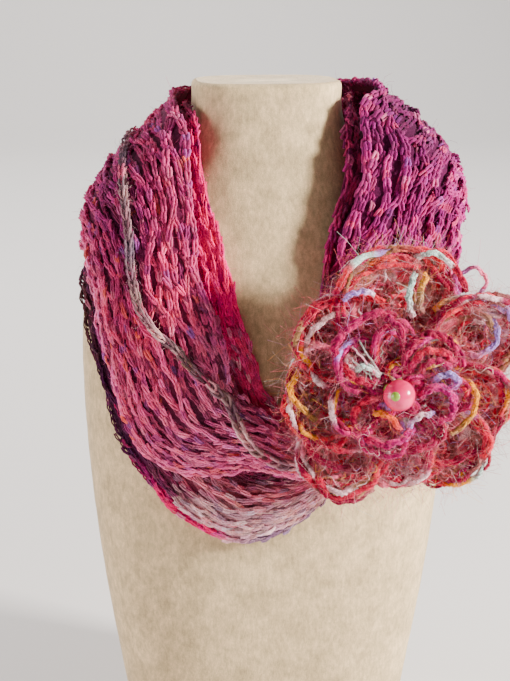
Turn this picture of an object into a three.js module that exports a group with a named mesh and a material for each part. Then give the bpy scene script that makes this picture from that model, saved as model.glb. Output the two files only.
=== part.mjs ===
// Infinity scarf wound twice round a neck display form, pinned by a yarn flower with a bead
// Millimetres, +Z up, +X to the viewer's right, front facing -Y, origin under the middle of the form
import * as THREE from "three";

// Cloth sizes
const clothWall = 2.2;
const ribHeight = 1.8;
const columnsPerRib = 2;
const seamGap = 0.4;
const chainRadius = 2.8;
const chainClear = 2;

// Flower sizes and place
const flowerCentre = [58, -90.2, 267];
const flowerYaw = 2;
const flowerPitch = 5;
const backingRadius = 36;
const backingThick = 4;
const petalWeb = 2.4;
const petalRim = 4.6;
const beadDiameter = 17.5;

// Form sections from the underside up, and how far the cloth stands off each of them
const formRows = table(
  ["height", "halfWidth", "front", "back", "square", "standOff"],
  [
    [0, 88.5, 50, 48, 2.6, 1.2],
    [40, 94, 54, 50, 2.6, 1.2],
    [100, 103, 60, 52, 2.6, 1.2],
    [150, 109, 64, 52.5, 2.6, 1.2],
    [200, 113, 67, 52, 2.6, 1.2],
    [245, 114.6, 67.5, 51, 2.6, 1.2],
    [285, 113.8, 64, 49.5, 2.6, 1.2],
    [300, 110.5, 61.5, 48.5, 2.55, 1.5],
    [315, 104.5, 59, 47, 2.5, 2.4],
    [330, 96.5, 56, 46, 2.45, 3.6],
    [350, 84, 51, 44, 2.4, 5.4],
    [370, 68.5, 46, 41.5, 2.4, 8.4],
    [385, 57, 42.5, 39.5, 2.5, 9.4],
    [400, 48.5, 39.5, 38, 2.6, 7.4],
    [412, 45, 38, 37, 2.8, 3.4],
    [422, 44.4, 37.2, 36.6, 3, 1.2],
    [430, 44.6, 37, 36.5, 3, 1.2],
  ],
);
const formHeight = 430;
const formEdgeRound = 3.5;
const footBevel = 1.5;
const formSides = 36;
const formRingHeights = [
  ...[footBevel * 2, 30, 65, 100, 135, 170, 200, 225, 250, 270, 285, 298],
  ...[310, 322, 334, 346, 358, 370, 380, 390, 400, 411, formHeight - formEdgeRound],
];
const crownFullness = 0.8;

// Outer turn, from the gather under the flower up the left side, behind the neck and down the right
// Turn is in degrees from the front, negative to the left, so that +90 on the right is -270 here
const outerTurnRows = table(
  ["innerTurn", "innerHeight", "hemTurn", "hemHeight", "innerLift", "crownLift", "hemLift"],
  [
    [13, 229, 14, 206, 13, 8, 14],
    [4, 235, 3, 209, 12, 8, 14.5],
    [-6, 247, -10, 214, 10, 9, 15.5],
    [-15, 257, -22, 212, 8, 10, 16],
    [-20, 268, -32, 210, 7, 11, 16],
    [-22, 284, -42, 213, 5.4, 12, 15],
    [-25, 300, -51, 221, 5.4, 13, 12],
    [-30, 316, -57, 240, 5.4, 13.5, 8.5],
    [-35, 334, -61, 264, 5.4, 14, 6.8],
    [-38, 356, -66, 290, 5.4, 15, 5.4],
    [-42, 379, -72, 312, 5.4, 16, 5.4],
    [-51, 402, -81, 326, 5.4, 18.5, 5.4],
    [-70, 417, -96, 333, 5.4, 19, 5.4],
    [-97, 422, -115, 336, 5.4, 15, 5.4],
    [-126, 423, -137, 338, 5.4, 13, 5.4],
    [-153, 423, -158, 340, 5.4, 11, 5.4],
    [-180, 423, -180, 340, 5.4, 11, 5.4],
    [-207, 424, -201, 339, 5.4, 14, 5.4],
    [-233, 427, -222, 337, 5.4, 19, 7],
    [-260, 430, -246, 334, 7, 27, 8],
    [-286, 431, -266, 331, 7, 34, 7],
    [-305, 424, -278, 325, 7, 28, 6],
    [-313, 404, -282, 317, 7, 22, 5.6],
    [-319, 383, -285, 306, 7, 16, 5.4],
    [-325, 362, -288, 294, 7, 14, 5.4],
    [-331, 343, -291, 279, 7, 15, 5.4],
    [-333, 322, -295, 262, 7, 15, 6.2],
    [-336, 300, -300, 246, 8, 16, 8],
    [-338, 278, -307, 231, 9, 14, 10],
    [-341, 257, -317, 217, 11, 12, 14],
    [-343, 241, -331, 207, 12, 10, 14],
    [-345, 229, -342, 205, 13, 8, 14],
  ],
);
const outerTurnSeams = { leftTop: 14, rightTop: 18, rightEnd: 31 };

// Inner turn, the same way round, with the low fold that shows under the outer turn's hem
const innerTurnRows = table(
  ["innerTurn", "innerHeight", "hemTurn", "hemHeight", "innerLift", "crownLift", "hemLift", "foldLift"],
  [
    [15, 224, 23, 190, 0.4, 0, 0.4, 6],
    [5, 236, 9, 172, 0.4, 0, 0.4, 7],
    [-2, 250, -7, 163, 0.4, 0, 0.4, 8],
    [-8, 260, -21, 162, 0.4, 0, 0.4, 8],
    [-11, 275, -34, 170, 0.4, 0, 0.4, 7.5],
    [-14, 288, -44, 183, 0.4, 0, 0.4, 6],
    [-18, 303, -52, 202, 0.4, 0, 0.4, 4],
    [-22, 322, -58, 220, 0.4, 0, 0.4, 2],
    [-28, 342, -63, 248, 0.4, 0, 0.4, 0],
    [-34, 360, -68, 274, 0.4, 0, 0.4, 0],
    [-41, 384, -74, 296, 0.4, 0, 0.4, 0],
    [-53, 408, -84, 310, 0.4, 0, 0.4, 0],
    [-72, 417, -99, 316, 0.4, 0, 0.4, 0],
    [-99, 414, -118, 316, 0.4, 0, 0.4, 0],
    [-128, 407, -139, 314, 0.4, 0, 0.4, 0],
    [-155, 400, -159, 312, 0.4, 0, 0.4, 0],
    [-180, 398, -180, 312, 0.4, 0, 0.4, 0],
    [-205, 400, -200, 312, 0.4, 0, 0.4, 0],
    [-232, 408, -220, 312, 0.4, 0, 0.4, 0],
    [-260, 417, -243, 312, 0.4, 0, 0.4, 0],
    [-286, 421, -264, 311, 0.4, 0, 0.4, 0],
    [-305, 412, -275, 306, 0.4, 0, 0.4, 0],
    [-315, 394, -281, 297, 0.4, 0, 0.4, 0],
    [-323, 375, -285, 286, 0.4, 0, 0.4, 0],
    [-329, 356, -289, 273, 0.4, 0, 0.4, 0],
    [-334, 338, -293, 257, 0.4, 0, 0.4, 0],
    [-338, 316, -298, 243, 0.4, 0, 0.4, 0],
    [-340, 292, -304, 229, 0.4, 0, 0.4, 0],
    [-341, 268, -313, 214, 0.4, 0, 0.4, 0],
    [-342, 246, -324, 202, 0.4, 0, 0.4, 0],
    [-342, 226, -335, 194, 0.4, 0, 0.4, 0],
  ],
);
const innerTurnSeams = { lowerTop: 6, underLeftTop: 14, underRightTop: 18, underEnd: 30 };
const foldPlace = 0.8;
const foldReach = 0.24;

// Rolled edge of the knitting, lying across the outer turn: stations and how far across the band
const edgeChainRows = table(
  ["station", "across"],
  [
    [12.4, 0.24],
    [11.5, 0.29],
    [10.6, 0.37],
    [9.8, 0.42],
    [9, 0.44],
    [8.2, 0.42],
    [7.4, 0.36],
    [6.6, 0.29],
    [5.8, 0.26],
    [5, 0.22],
    [4.2, 0.15],
    [3.5, 0.13],
    [2.9, 0.24],
    [2.4, 0.42],
    [1.9, 0.58],
    [1.3, 0.62],
    [0.6, 0.52],
  ],
);

// Petals of the flower: where each points, how far it starts and ends, and how it stands
// Lean lifts the tip, twist lifts one side over its neighbour, cup raises the rim
const petalColumns = ["name", "points", "from", "to", "width", "lift", "lean", "twist", "cup"];
const outerPetalRows = table(petalColumns, [
  ["outer_petal_1", 88, 20, 79, 70, 9.3, 4, 7.2, 5],
  ["outer_petal_2", 28, 22, 82, 52, 9.3, 4, 7.2, 5],
  ["outer_petal_3", -12, 22, 70, 44, 9.3, 3, 7.2, 5],
  ["outer_petal_4", -48, 20, 72, 48, 9.3, 3, 7.2, 5],
  ["outer_petal_5", -86, 22, 57, 38, 9.3, 2, 7.2, 5],
  ["outer_petal_6", -128, 18, 70, 48, 9.3, 3, 7.2, 5],
  ["outer_petal_7", -174, 18, 59, 52, 9.3, 3, 7.2, 5],
  ["outer_petal_8", 138, 18, 65, 48, 9.3, 3, 7.2, 5],
]);
const innerPetalRows = table(petalColumns, [
  ["inner_petal_1", 92, 10, 40, 26, 20, 4, 5.4, 4],
  ["inner_petal_2", 42, 10, 42, 27, 20.6, 4, 5.4, 4],
  ["inner_petal_3", -8, 10, 42, 27, 20, 4, 5.4, 4],
  ["inner_petal_4", -56, 10, 38, 26, 20, 4, 5.4, 4],
  ["inner_petal_5", -106, 10, 37, 28, 20, 4, 5.4, 4],
  ["inner_petal_6", -160, 10, 38, 30, 20, 4, 5.4, 4],
  ["inner_petal_7", 142, 10, 40, 28, 20, 4, 5.4, 4],
]);

// Heart that the petals are sewn to, from the backing up to the seat of the bead
const heartRows = table(
  ["radius", "height", "lobe"],
  [
    [9.6, 4.35, 0],
    [9.6, 22, 0],
    [10.6, 25.4, 0.6],
    [13, 27.4, 1.5],
    [13.4, 29.4, 1.6],
    [11.4, 30.6, 1.2],
    [8.6, 28.6, 0.4],
    [5, 26, 0],
  ],
);
const heartSides = 30;
const lobeCount = 5;
const beadSeat = 26.6;

// Finishes
const roseWool = finish("#b84668", 0.95);
const purpleWool = finish("#a63c78", 0.95);
const pinkWool = finish("#e60f55", 0.95);
const plumWool = finish("#6e2c50", 0.95);
const mauveWool = finish("#96707f", 0.95);
const flowerRed = finish("#a82a44", 0.95);
const flowerMagenta = finish("#c3145a", 0.95);
const backingFelt = finish("#7c2440", 1);
const velvet = finish("#cfc0a6", 0.9);
const beadGloss = finish("#f05a82", 0.15);

// Shared tools
function table(columns, rows) {
  return rows.map((row) => Object.fromEntries(columns.map((column, index) => [column, row[index]])));
}

function finish(color, roughness) {
  return new THREE.MeshStandardMaterial({ color, roughness, metalness: 0 });
}

function degrees(angle) {
  return (angle * Math.PI) / 180;
}

// Smooth value of one column at a key, through every row, with slopes from the rows on both sides
function smoothColumn(keys, values, key) {
  const last = keys.length - 1;
  const held = Math.min(Math.max(key, keys[0]), keys[last]);
  let row = 0;
  while (row < last - 1 && held > keys[row + 1]) row += 1;
  const slopeAt = (index) => {
    const before = Math.max(index - 1, 0);
    const after = Math.min(index + 1, last);
    return (values[after] - values[before]) / (keys[after] - keys[before]);
  };
  const span = keys[row + 1] - keys[row];
  const part = (held - keys[row]) / span;
  const square = part * part;
  const cube = square * part;
  return (
    (2 * cube - 3 * square + 1) * values[row] +
    (cube - 2 * square + part) * span * slopeAt(row) +
    (3 * square - 2 * cube) * values[row + 1] +
    (cube - square) * span * slopeAt(row + 1)
  );
}

function smoothRow(rows, key, keyColumn) {
  const keys = rows.map((row, index) => (keyColumn ? row[keyColumn] : index));
  const result = {};
  for (const column of Object.keys(rows[0])) {
    result[column] = smoothColumn(keys, rows.map((row) => row[column]), key);
  }
  return result;
}

// Geometry from points and triangles, turned so that its faces point outwards
function closedGeometry(points, triangles) {
  let volume = 0;
  for (const [a, b, c] of triangles) {
    volume += points[a].dot(new THREE.Vector3().crossVectors(points[b], points[c]));
  }
  const index = triangles.flatMap(([a, b, c]) => (volume > 0 ? [a, b, c] : [a, c, b]));
  const geometry = new THREE.BufferGeometry().setFromPoints(points);
  geometry.setIndex(index);
  return geometry;
}

function named(name, geometry, material) {
  const mesh = new THREE.Mesh(geometry, material);
  mesh.name = name;
  return mesh;
}

// Solid skinned over rings of equal counts, with a flat or pointed cap on the first and the last
function ringSolid(rings) {
  const sides = rings[0].length;
  const points = rings.flat();
  const triangles = [];
  for (let ring = 0; ring < rings.length - 1; ring += 1) {
    for (let side = 0; side < sides; side += 1) {
      const next = (side + 1) % sides;
      const low = ring * sides;
      const high = low + sides;
      triangles.push([low + side, low + next, high + next]);
      triangles.push([low + side, high + next, high + side]);
    }
  }
  const middleOf = (ring) => {
    const sum = ring.reduce((total, point) => total.add(point), new THREE.Vector3());
    return sum.divideScalar(sides);
  };
  const firstMiddle = points.push(middleOf(rings[0])) - 1;
  const lastMiddle = points.push(middleOf(rings.at(-1))) - 1;
  const lastRing = (rings.length - 1) * sides;
  for (let side = 0; side < sides; side += 1) {
    const next = (side + 1) % sides;
    triangles.push([firstMiddle, next, side]);
    triangles.push([lastMiddle, lastRing + side, lastRing + next]);
  }
  return closedGeometry(points, triangles);
}

// Distance from the axis to a section's outline in one direction
function sectionReach(turn, halfWidth, front, back, square) {
  const side = Math.sin(degrees(turn));
  const ahead = Math.cos(degrees(turn));
  const depth = ahead > 0 ? front : back;
  const sum = Math.pow(Math.abs(side) / halfWidth, square) + Math.pow(Math.abs(ahead) / depth, square);
  return Math.pow(sum, -1 / square);
}

function polarPoint(turn, reach, height) {
  return new THREE.Vector3(reach * Math.sin(degrees(turn)), -reach * Math.cos(degrees(turn)), height);
}

// Display form
function displayForm() {
  const rings = [formRing(0, footBevel), ...formRingHeights.map((height) => formRing(height, 0))];
  for (const angle of [30, 60, 90]) {
    const rise = formEdgeRound * Math.sin(degrees(angle));
    const trim = formEdgeRound * (1 - Math.cos(degrees(angle)));
    rings.push(formRing(formHeight - formEdgeRound + rise, trim));
  }
  return ringSolid(rings);
}

function formRing(height, trim) {
  const section = smoothRow(formRows, height, "height");
  const ring = [];
  for (let side = 0; side < formSides; side += 1) {
    const turn = (360 * side) / formSides;
    const { halfWidth, front, back, square } = section;
    ring.push(polarPoint(turn, sectionReach(turn, halfWidth, front, back, square) - trim, height));
  }
  return ring;
}

// A point of the cloth, lifted off the form by the stand-off of its height and by its own lift
function drapePoint(turn, height, lift) {
  const section = smoothRow(formRows, height, "height");
  const off = section.standOff;
  const reach = sectionReach(
    turn,
    section.halfWidth + off,
    section.front + off,
    section.back + off,
    section.square,
  );
  return polarPoint(turn, reach + lift, height);
}

// A point of a band at a station, part of the way across from its neckline edge to its hem
function bandPoint(rows, station, across, extra) {
  const row = smoothRow(rows, station);
  const turn = THREE.MathUtils.lerp(row.innerTurn, row.hemTurn, across);
  const height = THREE.MathUtils.lerp(row.innerHeight, row.hemHeight, across);
  const crown = row.crownLift * Math.pow(Math.sin(Math.PI * across), crownFullness);
  const foldPart = Math.max(0, 1 - Math.pow((across - foldPlace) / foldReach, 2));
  const fold = (row.foldLift ?? 0) * foldPart * foldPart;
  const lift = THREE.MathUtils.lerp(row.innerLift, row.hemLift, across) + crown + fold;
  return drapePoint(turn, height, lift + extra);
}

// One stretch of a band: a wall with knitted ribs raised in its outer points over a plain inside
function stretch(rows, from, to, steps, ribs) {
  const columns = ribs * columnsPerRib;
  const outer = [];
  const inner = [];
  for (let step = 0; step <= steps; step += 1) {
    const station = THREE.MathUtils.lerp(from, to, step / steps);
    const outerRow = [];
    const innerRow = [];
    for (let column = 0; column <= columns; column += 1) {
      const across = column / columns;
      const rise = ribHeight * (0.5 - 0.5 * Math.cos(2 * Math.PI * across * ribs));
      outerRow.push(bandPoint(rows, station, across, clothWall + rise));
      if (column % columnsPerRib === 0) innerRow.push(bandPoint(rows, station, across, 0));
    }
    outer.push(outerRow);
    inner.push(innerRow);
  }
  openSeam(outer);
  openSeam(inner);
  return wallGeometry(outer, inner);
}

// Both ends of a stretch are drawn back by half a seam's gap
function openSeam(grid) {
  const last = grid.length - 1;
  for (const [end, next] of [[0, 1], [last, last - 1]]) {
    grid[end].forEach((point, column) => {
      const inward = grid[next][column].clone().sub(point).setLength(seamGap / 2);
      point.add(inward);
    });
  }
}

// Closed wall between an outer grid and an inner grid that has one column for each rib
function wallGeometry(outer, inner) {
  const points = [...outer.flat(), ...inner.flat()];
  const outerWidth = outer[0].length;
  const innerWidth = inner[0].length;
  const last = outer.length - 1;
  const innerStart = outer.length * outerWidth;
  const outerAt = (row, column) => row * outerWidth + column;
  const innerAt = (row, column) => innerStart + row * innerWidth + column;
  const triangles = [];
  for (let row = 0; row < last; row += 1) {
    for (let column = 0; column < outerWidth - 1; column += 1) {
      triangles.push([outerAt(row, column), outerAt(row, column + 1), outerAt(row + 1, column + 1)]);
      triangles.push([outerAt(row, column), outerAt(row + 1, column + 1), outerAt(row + 1, column)]);
    }
    for (let column = 0; column < innerWidth - 1; column += 1) {
      triangles.push([innerAt(row, column), innerAt(row + 1, column + 1), innerAt(row, column + 1)]);
      triangles.push([innerAt(row, column), innerAt(row + 1, column), innerAt(row + 1, column + 1)]);
    }
    triangles.push([innerAt(row, 0), outerAt(row, 0), outerAt(row + 1, 0)]);
    triangles.push([innerAt(row, 0), outerAt(row + 1, 0), innerAt(row + 1, 0)]);
    const edge = outerWidth - 1;
    const innerEdge = innerWidth - 1;
    triangles.push([outerAt(row, edge), innerAt(row, innerEdge), innerAt(row + 1, innerEdge)]);
    triangles.push([outerAt(row, edge), innerAt(row + 1, innerEdge), outerAt(row + 1, edge)]);
  }
  for (const [row, forward] of [[0, true], [last, false]]) {
    const add = (a, b, c) => triangles.push(forward ? [a, b, c] : [a, c, b]);
    for (let rib = 0; rib < innerWidth - 1; rib += 1) {
      const start = rib * columnsPerRib;
      add(innerAt(row, rib), outerAt(row, start + 1), outerAt(row, start));
      add(innerAt(row, rib), innerAt(row, rib + 1), outerAt(row, start + 1));
      add(innerAt(row, rib + 1), outerAt(row, start + 2), outerAt(row, start + 1));
    }
  }
  return closedGeometry(points, triangles);
}

// Round cord of a few sides along a curve, closed at both ends
function cordGeometry(path, radius, steps, sides, closed) {
  const section = new THREE.Shape();
  section.absarc(0, 0, radius, 0, 2 * Math.PI, false);
  const curve = new THREE.CatmullRomCurve3(path, closed, "centripetal");
  return new THREE.ExtrudeGeometry(section, {
    steps,
    curveSegments: sides / 2,
    bevelEnabled: false,
    extrudePath: curve,
  });
}

function edgeChain() {
  const out = clothWall + ribHeight + chainRadius + chainClear;
  const path = edgeChainRows.map((row) => bandPoint(outerTurnRows, row.station, row.across, out));
  return cordGeometry(path, chainRadius, 44, 6, false);
}

// Cupped petal with a thick rim, in the flower's own frame: x along the petal, y across, z out
const petalRings = [0, 0.6, 0.9, 1];
const petalSides = 14;

function petal(row) {
  const halfLength = (row.to - row.from) / 2;
  const middle = (row.to + row.from) / 2;
  const points = [];
  const addSide = (face) => {
    for (const ring of petalRings) {
      const count = ring === 0 ? 1 : petalSides;
      const thick = ring < 0.7 ? petalWeb : petalRim;
      const half = ring === 1 ? 0 : (face * thick) / 2;
      for (let side = 0; side < count; side += 1) {
        const angle = (2 * Math.PI * side) / petalSides;
        const along = ring * Math.cos(angle);
        const over = ring * Math.sin(angle);
        const rise = row.lean * along + row.twist * over + row.cup * ring * ring + row.lift;
        points.push(
          new THREE.Vector3(middle + halfLength * along, (row.width / 2) * over, rise + half),
        );
      }
    }
  };
  addSide(1);
  const perFace = points.length;
  addSide(-1);
  const triangles = [];
  const ringStart = (ring) => 1 + (ring - 1) * petalSides;
  const rim = ringStart(petalRings.length - 1);
  for (const [base, forward] of [[0, true], [perFace, false]]) {
    const place = (index) => (index >= rim ? index : base + index);
    const add = (a, b, c) => triangles.push(forward ? [a, b, c] : [a, c, b]);
    for (let side = 0; side < petalSides; side += 1) {
      const next = (side + 1) % petalSides;
      add(place(0), place(1 + side), place(1 + next));
      for (let ring = 1; ring < petalRings.length - 1; ring += 1) {
        const low = ringStart(ring);
        const high = ringStart(ring + 1);
        add(place(low + side), place(high + side), place(high + next));
        add(place(low + side), place(high + next), place(low + next));
      }
    }
  }
  const kept = points.slice(0, perFace * 2 - petalSides);
  const geometry = closedGeometry(kept, triangles);
  return geometry.rotateZ(degrees(row.points));
}

function flowerBacking() {
  const profile = [
    [0, 0],
    [backingRadius, 0],
    [backingRadius, backingThick],
    [0, backingThick],
  ].map(([x, y]) => new THREE.Vector2(x, y));
  return new THREE.LatheGeometry(profile, 28).rotateX(Math.PI / 2);
}

// Stem at the middle of the flower, spreading into a lobed rosette under the bead
function flowerHeart() {
  const rings = heartRows.map(({ radius, height, lobe }) => {
    const ring = [];
    for (let side = 0; side < heartSides; side += 1) {
      const angle = (2 * Math.PI * side) / heartSides;
      const reach = radius + lobe * Math.cos(lobeCount * angle);
      ring.push(new THREE.Vector3(reach * Math.cos(angle), reach * Math.sin(angle), height));
    }
    return ring;
  });
  return ringSolid(rings);
}

function bead() {
  return new THREE.SphereGeometry(beadDiameter / 2, 16, 10);
}

function flower() {
  const group = new THREE.Group();
  group.position.set(...flowerCentre);
  group.rotation.order = "ZXY";
  group.rotation.set(degrees(90 - flowerPitch), 0, degrees(flowerYaw));
  group.add(named("flower_backing", flowerBacking(), backingFelt));
  for (const row of outerPetalRows) group.add(named(row.name, petal(row), flowerRed));
  for (const row of innerPetalRows) group.add(named(row.name, petal(row), flowerMagenta));
  group.add(named("flower_heart", flowerHeart(), flowerMagenta));
  const beadMesh = named("bead", bead(), beadGloss);
  beadMesh.position.z = beadSeat + beadDiameter / 2;
  group.add(beadMesh);
  return group;
}

// Whole object
const part = new THREE.Group();
part.add(named("display_form", displayForm(), velvet));
const { leftTop, rightTop, rightEnd } = outerTurnSeams;
part.add(
  named("front_left_stretch", stretch(outerTurnRows, 0, leftTop, 24, 16), roseWool),
  named("nape_upper", stretch(outerTurnRows, leftTop, rightTop, 8, 14), plumWool),
  named("front_right_stretch", stretch(outerTurnRows, rightTop, rightEnd, 21, 14), purpleWool),
);
const { lowerTop, underLeftTop, underRightTop, underEnd } = innerTurnSeams;
part.add(
  named("under_lower_stretch", stretch(innerTurnRows, 0, lowerTop, 10, 12), mauveWool),
  named("under_left_stretch", stretch(innerTurnRows, lowerTop, underLeftTop, 14, 10), pinkWool),
  named("nape_lower", stretch(innerTurnRows, underLeftTop, underRightTop, 8, 10), roseWool),
  named("under_right_stretch", stretch(innerTurnRows, underRightTop, underEnd, 18, 7), purpleWool),
);
part.add(named("edge_chain", edgeChain(), mauveWool));
part.add(flower());

export default part;
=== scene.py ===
import math

import bpy
import numpy as np
from mathutils import Matrix, Vector


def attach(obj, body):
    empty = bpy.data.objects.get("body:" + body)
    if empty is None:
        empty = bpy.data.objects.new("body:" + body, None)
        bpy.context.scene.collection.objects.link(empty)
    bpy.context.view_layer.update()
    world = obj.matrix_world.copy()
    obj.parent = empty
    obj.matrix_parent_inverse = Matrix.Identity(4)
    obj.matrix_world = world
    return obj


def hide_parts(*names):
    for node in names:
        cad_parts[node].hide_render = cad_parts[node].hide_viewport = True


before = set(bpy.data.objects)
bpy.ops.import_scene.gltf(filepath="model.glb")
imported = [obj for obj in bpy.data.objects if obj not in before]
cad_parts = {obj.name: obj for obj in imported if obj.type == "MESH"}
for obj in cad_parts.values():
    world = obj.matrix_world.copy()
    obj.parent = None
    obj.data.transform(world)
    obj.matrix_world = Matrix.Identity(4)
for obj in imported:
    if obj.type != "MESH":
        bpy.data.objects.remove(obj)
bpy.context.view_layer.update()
mm = 0.001

camera = dict(
    spot=(-0.0892, -0.7857, 0.4940),
    aim=(-0.0108, -0.0400, 0.2790),
    lens=91.76,
    sensorWidth=36,
    clipStart=0.01,
)


def addObject(name, content):
    piece = bpy.data.objects.new(name, content)
    bpy.context.scene.collection.objects.link(piece)
    return piece


def aimAt(item, spot, target):
    # a camera or lamp looks down its own -Z
    item.location = spot
    item.rotation_euler = (Vector(target) - Vector(spot)).to_track_quat("-Z", "Y").to_euler()


def placeCamera():
    data = bpy.data.cameras.new("photoCamera")
    data.sensor_fit = "HORIZONTAL"
    data.sensor_width, data.lens, data.clip_start = camera["sensorWidth"], camera["lens"], camera["clipStart"]
    eye = addObject("photoCamera", data)
    aimAt(eye, camera["spot"], camera["aim"])
    bpy.context.scene.camera = eye


placeCamera()
print("camera placed")

# small helpers for meshes and node trees


def meshPiece(name, points, edges, faces, **layers):
    # layers are point attributes: one number, a vector or a colour for every point
    kinds = {1: ("FLOAT", "value"), 3: ("FLOAT_VECTOR", "vector"), 4: ("FLOAT_COLOR", "color")}
    mesh = bpy.data.meshes.new(name)
    mesh.from_pydata(np.asarray(points, float).tolist(), edges, faces)
    for label, values in layers.items():
        values = np.asarray(values, float)
        kind, field = kinds[1 if values.ndim == 1 else values.shape[1]]
        mesh.attributes.new(label, kind, "POINT").data.foreach_set(field, values.ravel())
    return addObject(name, mesh)


def ringFaces(rings, sides, start=0, closed=True, flipped=False):
    # faces between rings of points; start is the number of the first ring's first point
    faces = []
    for low in range(start, start + (rings - 1) * sides, sides):
        for k in range(sides if closed else sides - 1):
            beside = (k + 1) % sides
            face = (low + k, low + beside, low + sides + beside, low + sides + k)
            faces.append((face[0], *face[:0:-1]) if flipped else face)
    return faces


def fanFaces(tip, start, sides, flipped=False):
    # triangles from one point to a ring of points
    pairs = [(start + k, start + (k + 1) % sides) for k in range(sides)]
    return [(tip, *(pair[::-1] if flipped else pair)) for pair in pairs]


def closedRings(rings, sides):
    # the faces of a whole solid made of rings, with a lid on the first and the last
    last = (rings - 1) * sides
    return ringFaces(rings, sides) + [tuple(reversed(range(sides))), tuple(range(last, last + sides))]


def realMesh(piece):
    # the mesh of a piece with its modifier worked in; the piece itself goes
    graph = bpy.context.evaluated_depsgraph_get()
    mesh = bpy.data.meshes.new_from_object(piece.evaluated_get(graph), depsgraph=graph)
    piece.modifiers.clear()
    bpy.data.objects.remove(piece)
    return mesh


def grow(guide, name, tree, **values):
    # runs a node tree on a guide object and keeps the result as a plain mesh
    modifier = guide.modifiers.new(tree.name, "NODES")
    modifier.node_group = tree
    for item in tree.interface.items_tree:
        key = item.name[0].lower() + item.name[1:].replace(" ", "")
        if item.item_type == "SOCKET" and item.in_out == "INPUT" and key in values:
            modifier[item.identifier] = values[key]
    mesh = realMesh(guide)
    for label in ("outward", "along", "size", "radius"):
        if label in mesh.attributes:
            mesh.attributes.remove(mesh.attributes[label])
    mesh.name = name
    return addObject(name, mesh)


def wear(piece, material):
    piece.data.shade_smooth()
    piece.data.materials.append(material)
    return piece


def thicken(surface, thickness, material):
    # a thin surface as a closed sheet
    name = surface.name
    wall = surface.modifiers.new("wall", "SOLIDIFY")
    wall.thickness, wall.offset = thickness, 0
    return wear(addObject(name, realMesh(surface)), material)


def joinPieces(name, pieces):
    with bpy.context.temp_override(active_object=pieces[0], selected_editable_objects=pieces):
        bpy.ops.object.join()
    pieces[0].name = name
    return pieces[0]


def belong(slot, node, *pieces):
    # the pieces ride the one body and take the place of the node's solid, if any; the slot is not used
    for piece in pieces:
        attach(piece, "root")
        if node:
            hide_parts(node)


def addNode(tree, kind, inputs=None, **settings):
    node = tree.nodes.new(kind)
    for label, value in settings.items():
        setattr(node, label, value)
    for label, value in (inputs or {}).items():
        if isinstance(value, bpy.types.Node):
            value = value.outputs[0]
        if isinstance(value, bpy.types.NodeSocket):
            tree.links.new(value, node.inputs[label])
        else:
            node.inputs[label].default_value = value
    return node


def maths(tree, operation, *values):
    return addNode(tree, "ShaderNodeMath", dict(enumerate(values)), operation=operation)


def scaled(tree, vector, by):
    return addNode(tree, "ShaderNodeVectorMath", {0: vector, "Scale": by}, operation="SCALE")


def openTree(name, sizes):
    tree = bpy.data.node_groups.new(name, "GeometryNodeTree")
    tree.interface.new_socket("Geometry", in_out="INPUT", socket_type="NodeSocketGeometry")
    for label, kind, value in sizes:
        socket = tree.interface.new_socket(label, in_out="INPUT", socket_type="NodeSocket" + kind)
        if value is not None:
            socket.default_value = value
    tree.interface.new_socket("Geometry", in_out="OUTPUT", socket_type="NodeSocketGeometry")
    return tree, tree.nodes.new("NodeGroupInput").outputs, tree.nodes.new("NodeGroupOutput")


def joinNodes(tree, *parts):
    join = tree.nodes.new("GeometryNodeJoinGeometry")
    for part in parts:
        tree.links.new(part if isinstance(part, bpy.types.NodeSocket) else part.outputs[0], join.inputs[0])
    return join


def named(tree, label, kind):
    return addNode(tree, "GeometryNodeInputNamedAttribute", {"Name": label}, data_type=kind)


def circle(tree, sides, radius):
    return addNode(tree, "GeometryNodeCurvePrimitiveCircle", {"Resolution": sides, "Radius": radius}, mode="RADIUS")


def finished(tree, geometry, material):
    # the last steps of every tree: real geometry, smooth, in its material
    whole = addNode(tree, "GeometryNodeRealizeInstances", {"Geometry": geometry})
    smooth = addNode(tree, "GeometryNodeSetShadeSmooth", {"Geometry": whole})
    return addNode(tree, "GeometryNodeSetMaterial", {"Geometry": smooth, "Material": material})


# colours and smooth wander


def linear(colour):
    # a colour of 0 to 255, as seen on screen, to the linear numbers that a shader takes
    part = np.asarray(colour, float) / 255
    return np.where(part <= 0.04045, part / 12.92, ((part + 0.055) / 1.055) ** 2.4)


def opaque(colours):
    # the four linear numbers of a colour layer
    return np.concatenate([linear(colours), np.ones((len(colours), 1))], 1)


def mix(first, second, part):
    part = np.clip(np.asarray(part, float), 0, 1)[..., None]
    return np.asarray(first, float) * (1 - part) + np.asarray(second, float) * part


def bump(value, centre, reach):
    return np.exp(-(((np.asarray(value, float) - centre) / reach) ** 2))


def wave(value, seed, length):
    # smooth wander between about -1 and 1, different for every seed
    value = np.asarray(value, float) / length
    turns = np.random.default_rng(int(seed)).uniform(0, 2 * math.pi, 3)
    return (
        0.5 * np.sin(2 * math.pi * value + turns[0])
        + 0.32 * np.sin(2 * math.pi * value * 1.73 + turns[1])
        + 0.24 * np.sin(2 * math.pi * value * 2.91 + turns[2])
    )


dyeRange = (4, 252)  # no wool is quite black or white
heathered = dict(spread=0.07, tint=5, fleckPart=(0.25, 0.75))


def heather(colour, dice, spread=heathered["spread"]):
    # every stitch or bit of yarn a little lighter or darker
    return colour * (1 + dice.normal(0, spread, (len(colour), 1)))


# the form, and how the two turns of the scarf lie on it (millimetres and degrees)

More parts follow.
